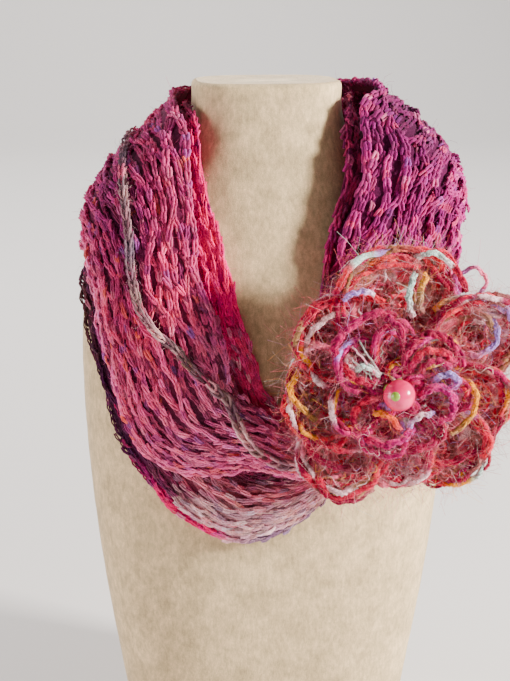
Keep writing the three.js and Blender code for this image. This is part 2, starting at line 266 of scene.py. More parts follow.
formRows = np.array([  # height, half width, front, back, squareness, stand-off of the cloth
    [0, 88.5, 50, 48, 2.6, 1.2], [40, 94, 54, 50, 2.6, 1.2], [100, 103, 60, 52, 2.6, 1.2],
    [150, 109, 64, 52.5, 2.6, 1.2], [200, 113, 67, 52, 2.6, 1.2], [245, 114.6, 67.5, 51, 2.6, 1.2],
    [285, 113.8, 64, 49.5, 2.6, 1.2], [300, 110.5, 61.5, 48.5, 2.55, 1.5], [315, 104.5, 59, 47, 2.5, 2.4],
    [330, 96.5, 56, 46, 2.45, 3.6], [350, 84, 51, 44, 2.4, 5.4], [370, 68.5, 46, 41.5, 2.4, 8.4],
    [385, 57, 42.5, 39.5, 2.5, 9.4], [400, 48.5, 39.5, 38, 2.6, 7.4], [412, 45, 38, 37, 2.8, 3.4],
    [422, 44.4, 37.2, 36.6, 3, 1.2], [430, 44.6, 37, 36.5, 3, 1.2],
])
# inner turn, inner height, hem turn, hem height, then the lift of the inner edge, crown, hem and fold
outerTurn = np.array([
    [13, 229, 14, 206, 13, 8, 14, 0], [4, 235, 3, 209, 12, 8, 14.5, 0], [-6, 247, -10, 214, 10, 9, 15.5, 0],
    [-15, 257, -22, 212, 8, 10, 16, 0], [-20, 268, -32, 210, 7, 11, 16, 0],
    [-22, 284, -42, 213, 5.4, 12, 15, 0], [-25, 300, -51, 221, 5.4, 13, 12, 0],
    [-30, 316, -57, 240, 5.4, 13.5, 8.5, 0], [-35, 334, -61, 264, 5.4, 14, 6.8, 0],
    [-38, 356, -66, 290, 5.4, 15, 5.4, 0], [-42, 379, -72, 312, 5.4, 16, 5.4, 0],
    [-51, 402, -81, 326, 5.4, 18.5, 5.4, 0], [-70, 417, -96, 333, 5.4, 19, 5.4, 0],
    [-97, 422, -115, 336, 5.4, 15, 5.4, 0], [-126, 423, -137, 338, 5.4, 13, 5.4, 0],
    [-153, 423, -158, 340, 5.4, 11, 5.4, 0], [-180, 423, -180, 340, 5.4, 11, 5.4, 0],
    [-207, 424, -201, 339, 5.4, 14, 5.4, 0], [-233, 427, -222, 337, 5.4, 19, 7, 0],
    [-260, 430, -246, 334, 7, 27, 8, 0], [-286, 431, -266, 331, 7, 34, 7, 0],
    [-305, 424, -278, 325, 7, 28, 6, 0], [-313, 404, -282, 317, 7, 22, 5.6, 0],
    [-319, 383, -285, 306, 7, 16, 5.4, 0], [-325, 362, -288, 294, 7, 14, 5.4, 0],
    [-331, 343, -291, 279, 7, 15, 5.4, 0], [-333, 322, -295, 262, 7, 15, 6.2, 0],
    [-336, 300, -300, 246, 8, 16, 8, 0], [-338, 278, -307, 231, 9, 14, 10, 0],
    [-341, 257, -317, 217, 11, 12, 14, 0], [-343, 241, -331, 207, 12, 10, 14, 0],
    [-345, 229, -342, 205, 13, 8, 14, 0],
])
innerTurn = np.array([  # inner turn, inner height, hem turn, hem height, fold lift
    [15, 224, 23, 190, 6], [5, 236, 9, 172, 7], [-2, 250, -7, 163, 8], [-8, 260, -21, 162, 8],
    [-11, 275, -34, 170, 7.5], [-14, 288, -44, 183, 6], [-18, 303, -52, 202, 4], [-22, 322, -58, 220, 2],
    [-28, 342, -63, 248, 0], [-34, 360, -68, 274, 0], [-41, 384, -74, 296, 0], [-53, 408, -84, 310, 0],
    [-72, 417, -99, 316, 0], [-99, 414, -118, 316, 0], [-128, 407, -139, 314, 0], [-155, 400, -159, 312, 0],
    [-180, 398, -180, 312, 0], [-205, 400, -200, 312, 0], [-232, 408, -220, 312, 0], [-260, 417, -243, 312, 0],
    [-286, 421, -264, 311, 0], [-305, 412, -275, 306, 0], [-315, 394, -281, 297, 0], [-323, 375, -285, 286, 0],
    [-329, 356, -289, 273, 0], [-334, 338, -293, 257, 0], [-338, 316, -298, 243, 0], [-340, 292, -304, 229, 0],
    [-341, 268, -313, 214, 0], [-342, 246, -324, 202, 0], [-342, 226, -335, 194, 0],
])
innerTurn = np.insert(innerTurn, [4, 4, 4], [0.4, 0, 0.4], axis=1)  # its own lifts are the same all along


def smoothRows(keys, rows, at):
    at = np.clip(np.asarray(at, float), keys[0], keys[-1])
    row = np.clip(np.searchsorted(keys, at) - 1, 0, len(keys) - 2)
    slopes = np.empty_like(rows)
    slopes[1:-1] = (rows[2:] - rows[:-2]) / (keys[2:] - keys[:-2])[:, None]
    slopes[0] = (rows[1] - rows[0]) / (keys[1] - keys[0])
    slopes[-1] = (rows[-1] - rows[-2]) / (keys[-1] - keys[-2])
    span = (keys[row + 1] - keys[row])[..., None]
    part = (at - keys[row])[..., None] / span
    square, cube = part**2, part**3
    return (
        (2 * cube - 3 * square + 1) * rows[row]
        + (cube - 2 * square + part) * span * slopes[row]
        + (3 * square - 2 * cube) * rows[row + 1]
        + (cube - square) * span * slopes[row + 1]
    )


def trackAt(rows, at):
    # a place between numbered rows, 0 for the first
    return smoothRows(np.arange(len(rows), dtype=float), rows, at)


def reachOf(turn, halfWidth, front, back, square):
    side, ahead = np.sin(np.radians(turn)), np.cos(np.radians(turn))
    depth = np.where(ahead > 0, front, back)
    return (np.abs(side / halfWidth) ** square + np.abs(ahead / depth) ** square) ** (-1 / square)


def polar(turn, reach, height):
    return np.stack([reach * np.sin(np.radians(turn)), -reach * np.cos(np.radians(turn)), height], -1) * mm


clothFold = dict(middle=0.8, halfWidth=0.24, crownPower=0.8)


def bandPoints(rows, station, across, extra):
    # a point of the cloth: its place along the turn, its place across it, and its height over the cloth's inside
    row = trackAt(rows, station)
    turn = row[..., 0] + (row[..., 2] - row[..., 0]) * across
    height = row[..., 1] + (row[..., 3] - row[..., 1]) * across
    crown = row[..., 5] * np.clip(np.sin(math.pi * np.clip(across, 0, 1)), 0, 1) ** clothFold["crownPower"]
    fold = row[..., 7] * np.maximum(0, 1 - ((across - clothFold["middle"]) / clothFold["halfWidth"]) ** 2) ** 2
    lift = row[..., 4] + (row[..., 6] - row[..., 4]) * across + crown + fold + extra
    section = smoothRows(formRows[:, 0], formRows, height)
    reach = reachOf(turn, *(section[..., index] + section[..., 5] for index in (1, 2, 3)), section[..., 4])
    return polar(turn, reach + lift, height)


def unit(vectors):
    return vectors / np.maximum(np.linalg.norm(vectors, axis=-1, keepdims=True), 1e-12)


def bandOutward(rows, station, across, extra, along=0.05, over=0.015):
    # the way the cloth faces, from its slopes over a short step along and over the band
    lengthwise = bandPoints(rows, station + along, across, extra) - bandPoints(rows, station - along, across, extra)
    sideways = bandPoints(rows, station, across + over, extra) - bandPoints(rows, station, across - over, extra)
    outward = unit(np.cross(lengthwise, sideways))
    place = bandPoints(rows, station, across, extra)
    facing = np.sum(outward[..., :2] * place[..., :2], -1, keepdims=True)
    return np.where(facing < 0, -outward, outward)


def runOf(line):
    return np.concatenate([[0], np.cumsum(np.linalg.norm(np.diff(line, axis=0), axis=1))])


def aheadAt(marks, run, line, near=0.002):
    # the way a line runs at each mark
    ways = [np.interp(marks + near, run, part) - np.interp(marks - near, run, part) for part in line.T]
    return unit(np.stack(ways, 1))


def stitchGuide(name, parts):
    # a guide point for every stitch; parts are the places, facings, ways, sizes and colours of each strand
    spots, outward, along, size, colours = (np.concatenate(part) for part in zip(*parts))
    return meshPiece(name, spots, [], [], outward=outward, along=along, size=size, wool=opaque(colours))


# finishes

woolFinish = dict(
    roughness=0.95, sheen=0.16, sheenRoughness=0.5, sheenTint=(1.0, 0.62, 0.74, 1), shine=0.06,
    fibreScale=1100, speckScale=300, tips=(226, 178, 168), raised=0.8, raisedHeight=0.0006,
)


def openMaterial(name, looks):
    # looks are plain numbers and colours for the shader's own sockets
    material = bpy.data.materials.new(name)
    material.use_nodes = True
    shader = material.node_tree.nodes["Principled BSDF"]
    for label, value in looks.items():
        shader.inputs[label].default_value = value
    return material, material.node_tree, shader


def noise(tree, place, scale, detail, **more):
    inputs = {"Vector": place, "Scale": scale, "Detail": detail, **more}
    return addNode(tree, "ShaderNodeTexNoise", inputs).outputs[0]


def remap(tree, value, fromMin, fromMax, toMin, toMax):
    inputs = {"Value": value, "From Min": fromMin, "From Max": fromMax, "To Min": toMin, "To Max": toMax}
    return addNode(tree, "ShaderNodeMapRange", inputs)


def twoTones(tree, value, *stops):
    # a blend of two colours, each with the value where it is whole
    node = addNode(tree, "ShaderNodeValToRGB", {"Fac": value})
    for element, (position, colour) in zip(node.color_ramp.elements, stops):
        element.position, element.color = position, (*linear(colour), 1)
    return node.outputs[0]


def addBump(tree, shader, height, strength, distance):
    raised = addNode(tree, "ShaderNodeBump", {"Height": height, "Strength": strength, "Distance": distance})
    tree.links.new(raised.outputs[0], shader.inputs["Normal"])


def woolMaterial(name, lighten=1.0, sheen=woolFinish["sheen"], contrast=0.24,
                 roughness=woolFinish["roughness"], pale=0.0):
    # heathered yarn: the colour of each stitch is in the attribute "wool", the fibres are noise
    look = woolFinish
    material, tree, shader = openMaterial(name, {
        "Roughness": roughness, "Sheen Weight": sheen, "Sheen Roughness": look["sheenRoughness"],
        "Sheen Tint": look["sheenTint"], "Specular IOR Level": look["shine"], "Diffuse Roughness": 1.0})
    place = addNode(tree, "ShaderNodeTexCoord").outputs["Object"]
    wool = addNode(tree, "ShaderNodeAttribute", attribute_name="wool").outputs["Color"]
    fibre, speck = noise(tree, place, look["fibreScale"], 3), noise(tree, place, look["speckScale"], 2)
    strength = maths(tree, "MULTIPLY", remap(tree, fibre, 0.3, 0.7, 1 - contrast, 1 + contrast),
                     remap(tree, speck, 0.35, 0.65, 0.87, 1.13))
    colour = scaled(tree, wool, maths(tree, "MULTIPLY", strength, lighten))
    tips = tuple(linear(look["tips"]) * pale)
    colour = addNode(tree, "ShaderNodeVectorMath", {0: colour, 1: (1 - pale,) * 3, 2: tips}, operation="MULTIPLY_ADD")
    tree.links.new(colour.outputs[0], shader.inputs["Base Color"])
    addBump(tree, shader, fibre, look["raised"], look["raisedHeight"])
    return material


knitWool = woolMaterial("heatheredKnitWool", lighten=1.14)
# the wool of the cloth under the strands, which carries painted shade
shadeClothWool = woolMaterial("darkKnitGround", contrast=0.3, sheen=0.1)
hairWool = woolMaterial("looseWoolHair", lighten=1.25, contrast=0.2, roughness=0.6)
mohair = woolMaterial("mohairYarn", lighten=1.18, contrast=0.42, sheen=0.22)
mohairHair = woolMaterial("mohairHair", lighten=1.25, contrast=0.25, sheen=0.3, roughness=0.55, pale=0.22)

# node trees for stitches, yarn and loose hairs


def stitchTree():
    # one V of two tapering legs on every guide point, turned to its strand and facing outwards
    tree, sizes, out = openTree("knitStitches", [
        ("Stitch Length", "Float", 0.0044), ("Stitch Width", "Float", 0.0042), ("Stitch Depth", "Float", 0.0016),
        ("Yarn Radius", "Float", 0.0009), ("Leg Sides", "Int", 5), ("Leg Steps", "Int", 3),
        ("Wool", "Material", None),
    ])
    leg = addNode(
        tree, "GeometryNodeCurvePrimitiveBezierSegment",
        {"Resolution": sizes["Leg Steps"], "Start": (0.03, -0.3, -0.9), "Start Handle": (0.1, 0.15, 0.35),
         "End Handle": (0.34, 0.8, 0.65), "End": (0.16, 1.35, -0.85)}, mode="POSITION",
    )
    spread = addNode(tree, "ShaderNodeCombineXYZ", {
        "X": sizes["Stitch Width"], "Y": sizes["Stitch Length"], "Z": sizes["Stitch Depth"]})
    shaped = addNode(tree, "GeometryNodeTransform", {"Geometry": leg, "Scale": spread})
    ring = circle(tree, sizes["Leg Sides"], sizes["Yarn Radius"])
    along = addNode(tree, "GeometryNodeSplineParameter")
    taper = maths(tree, "SINE", maths(tree, "MULTIPLY_ADD", along.outputs["Factor"], 2.3, 0.42))
    tube = addNode(tree, "GeometryNodeCurveToMesh",
                   {"Curve": shaped, "Profile Curve": ring, "Scale": taper, "Fill Caps": True})
    mirrored = addNode(tree, "GeometryNodeTransform", {"Geometry": tube, "Scale": (-1, 1, 1)})
    flipped = addNode(tree, "GeometryNodeFlipFaces", {"Mesh": mirrored})
    outward, along = named(tree, "outward", "FLOAT_VECTOR"), named(tree, "along", "FLOAT_VECTOR")
    turned = addNode(tree, "FunctionNodeAxesToRotation", {"Primary Axis": outward, "Secondary Axis": along},
                     primary_axis="Z", secondary_axis="Y")
    placed = addNode(tree, "GeometryNodeInstanceOnPoints", {
        "Points": sizes["Geometry"], "Instance": joinNodes(tree, tube, flipped),
        "Rotation": turned, "Scale": named(tree, "size", "FLOAT_VECTOR")})
    tree.links.new(finished(tree, placed, sizes["Wool"]).outputs[0], out.inputs[0])
    return tree


def yarnTree():
    # plied yarn along every line of the guide, with its thickness from the attribute "radius"
    tree, sizes, out = openTree("pliedYarn", [
        ("Ply Twist", "Float", 420.0), ("Ply Depth", "Float", 0.08), ("Yarn Sides", "Int", 8),
        ("Wool", "Material", None),
    ])
    line = addNode(tree, "GeometryNodeMeshToCurve", {"Mesh": sizes["Geometry"]})
    along = addNode(tree, "GeometryNodeSplineParameter")
    tilt = maths(tree, "MULTIPLY", along.outputs["Length"], sizes["Ply Twist"])
    turned = addNode(tree, "GeometryNodeSetCurveTilt", {"Curve": line, "Tilt": tilt})
    lobes = maths(tree, "COSINE", maths(tree, "MULTIPLY", along.outputs["Factor"], 4 * math.pi))
    swell = maths(tree, "MULTIPLY_ADD", lobes, sizes["Ply Depth"], 1.0)
    moved = scaled(tree, addNode(tree, "GeometryNodeInputPosition"), swell)
    profile = addNode(tree, "GeometryNodeSetPosition",
                      {"Geometry": circle(tree, sizes["Yarn Sides"], 1.0), "Position": moved})
    tube = addNode(tree, "GeometryNodeCurveToMesh", {
        "Curve": turned, "Profile Curve": profile, "Scale": named(tree, "radius", "FLOAT"), "Fill Caps": True})
    tree.links.new(finished(tree, tube, sizes["Wool"]).outputs[0], out.inputs[0])
    return tree


def hairTree():
    # keeps the wool it is given and adds loose hairs in three shapes, seeded
    tree, sizes, out = openTree("looseHairs", [
        ("Hairs Per Area", "Float", 40000.0), ("Seed", "Int", 1), ("Hair Length", "Float", 0.008),
        ("Hair Radius", "Float", 0.00008), ("Tilt", "Float", 1.2), ("Hair Steps", "Int", 3),
        ("Hair", "Material", None),
    ])
    spots = addNode(tree, "GeometryNodeDistributePointsOnFaces", {
        "Mesh": sizes["Geometry"], "Density": sizes["Hairs Per Area"], "Seed": sizes["Seed"]})
    ring = circle(tree, 3, sizes["Hair Radius"])
    shapes = []
    for start, end, tip in (
        ((0.25, 0.0, 0.3), (0.55, 0.35, 0.75), (0.15, 0.6, 0.95)),
        ((0.0, 0.3, 0.25), (-0.5, 0.2, 0.55), (-0.85, -0.25, 0.6)),
        ((-0.35, 0.1, 0.2), (-0.1, -0.6, 0.45), (0.55, -0.5, 0.5)),
    ):
        hair = addNode(tree, "GeometryNodeCurvePrimitiveBezierSegment", {
            "Resolution": sizes["Hair Steps"], "Start": (0, 0, -0.02), "Start Handle": start, "End Handle": end,
            "End": tip}, mode="POSITION")
        long = addNode(tree, "GeometryNodeTransform", {"Geometry": hair, "Scale": sizes["Hair Length"]})
        tube = addNode(tree, "GeometryNodeCurveToMesh", {"Curve": long, "Profile Curve": ring, "Fill Caps": True})
        shapes.append(addNode(tree, "GeometryNodeGeometryToInstance", {0: tube}))
    pick = addNode(tree, "FunctionNodeRandomValue", {"Min": 0, "Max": 2, "Seed": 5}, data_type="INT")
    spin = addNode(tree, "FunctionNodeRandomValue", {"Seed": 7}, data_type="FLOAT_VECTOR")
    back = maths(tree, "MULTIPLY", sizes["Tilt"], -1.0)
    low = addNode(tree, "ShaderNodeCombineXYZ", {"X": back, "Y": back, "Z": 0.0})
    high = addNode(tree, "ShaderNodeCombineXYZ", {"X": sizes["Tilt"], "Y": sizes["Tilt"], "Z": 6.283})
    tree.links.new(low.outputs[0], spin.inputs[0])
    tree.links.new(high.outputs[0], spin.inputs[1])
    turned = addNode(tree, "FunctionNodeRotateRotation",
                     {"Rotation": spots.outputs["Rotation"], "Rotate By": spin.outputs[0]}, rotation_space="LOCAL")
    size = addNode(tree, "FunctionNodeRandomValue", {2: 0.45, 3: 1.35}, data_type="FLOAT")
    placed = addNode(tree, "GeometryNodeInstanceOnPoints", {
        "Points": spots.outputs["Points"], "Instance": joinNodes(tree, *shapes), "Pick Instance": True,
        "Rotation": turned, "Scale": size.outputs[1]})
    wholePick = next(socket for socket in pick.outputs if socket.enabled)
    tree.links.new(wholePick, placed.inputs["Instance Index"])
    dyed = finished(tree, placed, sizes["Hair"])
    tree.links.new(joinNodes(tree, sizes["Geometry"], dyed).outputs[0], out.inputs[0])
    return tree


stitches, yarn, hairs = stitchTree(), yarnTree(), hairTree()
print("node trees built")

# the velvet display form

displayForm = dict(
    sides=132, rings=96, height=430, edgeRound=3.5, footBevel=1.5,
    seamBelowTop=5.5, seamDepth=0.45, seamWidth=1.3, dimple=0.12, dimpled=(4, 424),
    # the lid is greyer and greener; below it a painted highlight, a lighter band just under the rounded top edge
    # where it catches the light
    lidTone=(0.86, 0.80, 0.70), rimBelowTop=2.5, rimWidth=2.4, rimLight=(0.10, 0.10, 0.07),
    worn=(190, 167, 128), fresh=(230, 201, 156),
)


def velvetMaterial():
    material, tree, shader = openMaterial("brushedVelvet", {
        "Roughness": 0.9, "Sheen Weight": 0.25, "Sheen Roughness": 0.4, "Sheen Tint": (1.0, 0.96, 0.88, 1),
        "Specular IOR Level": 0.15})
    place = addNode(tree, "ShaderNodeTexCoord").outputs["Object"]
    drawn = addNode(tree, "ShaderNodeMapping", {"Vector": place, "Scale": (1, 1, 0.4)})
    cloud, pile = noise(tree, place, 62, 6, Roughness=0.68), noise(tree, place, 2400, 2)
    streak = noise(tree, drawn, 420, 4, Roughness=0.7)
    nap = addNode(tree, "ShaderNodeAttribute", attribute_name="nap").outputs["Color"]
    tone = twoTones(tree, cloud, (0.34, displayForm["worn"]), (0.66, displayForm["fresh"]))
    # times the lid's tone and the painted highlight just under the top edge
    tone = addNode(tree, "ShaderNodeVectorMath", {0: tone, 1: nap}, operation="MULTIPLY")
    strength = maths(tree, "MULTIPLY", remap(tree, streak, 0.34, 0.66, 0.78, 1.14),
                     remap(tree, pile, 0.34, 0.66, 0.84, 1.12))
    tree.links.new(scaled(tree, tone, strength).outputs[0], shader.inputs["Base Color"])
    addBump(tree, shader, maths(tree, "MULTIPLY_ADD", pile, 0.6, streak), 0.35, 0.0006)
    return material


def makeForm():
    size, top, bend = displayForm, displayForm["height"], displayForm["edgeRound"]
    levels = [(0.0, bend * 0.6), (0.4, 0.4), (size["footBevel"], 0.0)]  # height, and how far it is trimmed back
    levels += [(height, 0.0) for height in np.linspace(size["footBevel"], top - bend, size["rings"])[1:]]
    levels += [(top - bend + bend * math.sin(a), bend * (1 - math.cos(a))) for a in np.radians([18, 36, 54, 72, 90])]
    levels += [(top - 0.15 * k, bend + 7.0 * k) for k in (0.6, 1.6, 3.0, 4.4)]
    turns = np.linspace(0, 360, size["sides"], endpoint=False)
    rings, lidToneAndRimHighlights = [], []
    for height, trim in levels:
        section = smoothRows(formRows[:, 0], formRows, np.full(turns.shape, min(height, top)))
        reach = reachOf(turns, *section.T[1:5]) - trim
        reach = reach - size["seamDepth"] * bump(height, top - size["seamBelowTop"], size["seamWidth"])
        if size["dimpled"][0] < height < size["dimpled"][1]:
            reach = reach + size["dimple"] * wave(turns / 360 + height / 97, 3, 0.31)
        rings.append(polar(turns, np.maximum(reach, 0.8), np.full(turns.shape, height)))
        lid = height >= top - 0.5 and trim > bend * 0.6
        # painted highlight: a lighter band just under the top edge, where the rounded edge catches the light
        paintedRimHighlight = float(bump(height, top - size["rimBelowTop"], size["rimWidth"]))
        tone = size["lidTone"] if lid else [1 + light * paintedRimHighlight for light in size["rimLight"]]
        lidToneAndRimHighlights.append(np.tile((*tone, 1), (len(turns), 1)))
    form = meshPiece("velvet_form", np.concatenate(rings), [], closedRings(len(levels), size["sides"]),
                     nap=np.concatenate(lidToneAndRimHighlights))
    belong("velvet", "display_form", wear(form, velvetMaterial()))


makeForm()
print("display form made")

# the scarf: a knitted ground cloth, darkened as painted shade between the strands, and two layers of strands of
# stitches over it

knitting = dict(
    stitchLength=0.0046, stitchWidth=0.0042, stitchDepth=0.0015, yarnRadius=0.00165, legSides=4, wool=knitWool,
    stationLength=24.0,  # about the millimetres of cloth from one row of a turn to the next
    samples=420, stagger=0.37, roomPerStitch=0.0053, narrowest=0.8, hemFrom=0.92, hemWidest=0.86,
    widths=(0.94, 1.08), lengths=(0.96, 1.1), depths=(0.9, 1.15), facingSpread=0.19, headingSpread=0.09,
    hairs=dict(hairsPerArea=10000.0, hairLength=0.0058, hairRadius=0.00005, tilt=1.35, hairSteps=2, hair=hairWool),
)
strandLayers = dict(  # lift from the inside of the cloth and its wander are in millimetres
    upper=dict(lift=3.5, wander=0.6, widest=1.45, shade=1, shift=0, seed=0, legSteps=3),
    # the lower strands' colours are multiplied by 0.86: painted shade under the upper strands
    lower=dict(lift=2.2, wander=0.3, widest=1.8, shade=0.86, shift=0.5, seed=50, legSteps=2),
)
strandSway = dict(
    zigzag=0.24, zigzagLength=64, drift=0.36, driftLength=84, bundleOf=3.1, bundleDrift=0.42, bundleLift=1.0)
wildStrand = dict(sway=1.3, swayLength=120, lift=1.1)
hemSwell = dict(lift=2.6, station=9.2, reach=3.4, across=0.85)  # the inner turn's hem stands out at the left
# the fold across the lowest band is raised, and its blush colour is partly a painted highlight
foldAndHighlight = dict(across=0.59, slope=0.03, lift=3.4, station=2.8, reach=2.4, width=0.09)
rightCrown = dict(lift=6.0, station=20.6, reach=3.2, across=0.17, width=0.3)
# the cloth's dark plum tone is painted shade for the gaps between the strands
paintedShadeCloth = dict(lift=0.7, innerLift=0.8, swell=2.2, rib=0.35, thickness=0.0009, tone=(46, 12, 34))

tones = dict(
    rose=(228, 66, 124), dusk=(156, 50, 120), magenta=(238, 62, 132), plum=(126, 34, 70), night=(92, 30, 74),
    olive=(96, 74, 42), pink=(255, 0, 132), crimson=(255, 26, 118), pale=(250, 146, 180), orange=(238, 108, 78),
    lilac=(146, 88, 174), purple=(172, 38, 122), orchid=(192, 50, 142), wine=(100, 20, 76), mauve=(246, 190, 200),
    dove=(246, 214, 218), slate=(160, 128, 154), blush=(255, 140, 166), taupe=(126, 90, 98), smoke=(100, 78, 92),
    ember=(255, 138, 188),
)


def withFlecks(colour, seed, flecks, spread=heathered["spread"]):
    # heather, with some of the stitches in another colour of the yarn
    dice = np.random.default_rng(seed)
    colour = heather(colour, dice, spread) + dice.normal(0, heathered["tint"], colour.shape)
    draw = dice.random(len(colour))
    low = 0.0
    for tone, share in flecks:
        chosen = (draw >= low) & (draw < low + share)
        part = dice.uniform(*heathered["fleckPart"], chosen.sum())
        colour[chosen] = mix(colour[chosen], np.tile(tones[tone], (chosen.sum(), 1)), part)
        low += share
    return np.clip(colour, *dyeRange)


def dyed(colour, *coats):
    # lays one tone after the other over a colour, each by its own part
    for tone, part in coats:
        colour = mix(colour, tones[tone], part)
    return colour


def outerTones(station, across):
    left = dyed(
        tones["rose"],
        ("dusk", 0.85 * bump(station, 10.6, 2.0) * bump(across, 0.45, 0.17)),
        ("magenta", 0.8 * bump(station, 2.6, 2.2)),
        ("dusk", 0.5 * bump(station, 6.5, 1.6) * bump(across, 1.0, 0.1)),
        ("dusk", 0.35 * bump(across, 0.05, 0.08)),
        ("dusk", 0.38 * bump(station, 11.6, 2.2)),
        # painted light: paler pink near the hem of the left stretch and over its low part, where they take less light
        ("ember", bump(across, 0.92, 0.2) * bump(station, 9.4, 3.8)),
        ("ember", 0.85 * np.clip((8.0 - station) / 4, 0, 1)),
    )
    right = dyed(
        tones["purple"],
        ("orchid", 0.5 + 0.5 * wave(station * 26 + across * 100, 12, 46)),
        ("wine", 0.85 * bump(station, 20.2, 1.5) * bump(across, 0.2, 0.2)),
        ("wine", 0.55 * bump(across, 0.16, 0.05) * bump(station, 27.5, 2.2)),
        ("rose", 0.5 * bump(across, 0.03, 0.07) * bump(station, 27.5, 2.5)),
    )
    return mix(left, right, (station - 12.5) / 4.5)


def foldLine(station):
    # where the fold runs across the lowest band; its coral colour is partly a painted highlight
    return foldAndHighlight["across"] + foldAndHighlight["slope"] * station


def innerTones(station, across):
    side = dyed(
        tones["pink"],
        # the pink band's low part turns crimson, a crimson kept light as painted light where the outer turn shades it
        ("crimson", 0.6 * bump(station, 5.6, 1.5)),
        ("plum", 0.85 * np.clip((station - 10.6) / 0.8, 0, 1)),
        ("plum", (across - 0.4) / 0.2),
        ("night", (across - 0.72) / 0.12),
        ("olive", 0.6 * bump(station, 10.2, 1.2) * bump(across, 0.97, 0.06)),
    )
    start = foldLine(station) + 0.04 + 0.22 * np.clip((station - 4.1) / 1.5, 0, 1)
    low = dyed(
        tones["magenta"],
        ("plum", (across - 0.2) / 0.1),
        # the raised fold is coloured blush, partly a painted highlight on its crest
        ("blush", 1.6 * bump(across, foldLine(station), 0.06) * bump(station, 2.8, 2.6)),
        ("mauve", (across - start) / 0.03),
        ("dove", 0.3 * (across > 0.84) * (0.5 + 0.5 * wave(station * 22, 31, 30))),
        ("pink", (across > 0.955) * (station - 3.1) / 0.5),
        ("slate", 0.75 * (across > 0.955) * (2.9 - station) / 0.6),
    )
    far = dyed(
        tones["wine"],
        ("purple", 0.5 + 0.5 * wave(station * 24 + across * 60, 17, 52)),
        ("rose", 0.6 * bump(across, 0.08, 0.12)),
    )
    return mix(mix(low, side, (station - 5.2) / 1.4), far, (station - 13) / 5)


outerFlecks = [("orange", 0.04), ("lilac", 0.05), ("pale", 0.06), ("plum", 0.10), ("dusk", 0.08)]
rightFlecks = [("wine", 0.14), ("lilac", 0.04), ("pale", 0.06), ("rose", 0.10)]
innerFlecks = [("pale", 0.03), ("crimson", 0.10), ("wine", 0.02)]
lowerFlecks = [("dove", 0.10), ("slate", 0.14), ("blush", 0.02)]


def edgesOf(rows, station):
    # where across the band its strands begin and end; the layer below shows past them
    if rows is outerTurn:
        inner = 0.03 * bump(station, 6.5, 3.5) + 0.02 * bump(station, 19.8, 2.4)
        return inner, 1 - 0.12 * bump(station, 7.6, 2.4)
    return 0.02 * bump(station, 6.6, 1.8), 1 + 0 * station


def crownLift(rows, station, across):
    # the right stretch stands off fuller beside the neck, millimetres
    lift = rightCrown["lift"] if rows is outerTurn else 0.0
    near = lift * bump(station, rightCrown["station"], rightCrown["reach"])
    return near * bump(across, rightCrown["across"], rightCrown["width"])


def strandLine(stretch, layer, strand, middle, fine):
    # where a strand runs across the band, and its height over the inside of the cloth in millimetres
    rows, strands = stretch["rows"], stretch["strands"]
    seed, upper = stretch["seed"] + layer["seed"], layer is strandLayers["upper"]
    reach = fine * knitting["stationLength"]
    side = 1 if strand % 2 else -1
    turn = 2 * math.pi * reach / strandSway["zigzagLength"] + 1.3 * wave(reach, seed + 5, 160)
    shift = strandSway["zigzag"] * side * np.sin(turn)
    shift = shift + strandSway["drift"] * wave(reach, seed * 31 + strand, strandSway["driftLength"])
    height = layer["lift"] + layer["wander"] * wave(reach, seed * 17 + strand, 44)
    if rows is outerTurn and upper:  # the strands draw together in threes
        bundle = 2 * math.pi * (middle * strands / strandSway["bundleOf"] + 0.45 * wave(reach, seed + 9, 130))
        height = height + strandSway["bundleLift"] * np.cos(bundle)
        shift = shift - strandSway["bundleDrift"] * np.sin(bundle)
    if rows is innerTurn and middle > hemSwell["across"]:
        height = height + hemSwell["lift"] * bump(fine, hemSwell["station"], hemSwell["reach"])
    if rows is innerTurn:
        onFold = bump(middle, foldLine(fine), foldAndHighlight["width"])
        height = height + foldAndHighlight["lift"] * bump(fine, foldAndHighlight["station"], foldAndHighlight["reach"]) * onFold
    if strand in stretch["wild"] and upper:
        shift = shift + wildStrand["sway"] * wave(reach, seed * 13 + strand, wildStrand["swayLength"])
        height = height + wildStrand["lift"]
    inner, hem = edgesOf(rows, fine)
    across = inner + (hem - inner) * np.clip(middle + shift / strands, 0.006, 0.994)
    return across, height + crownLift(rows, fine, across)


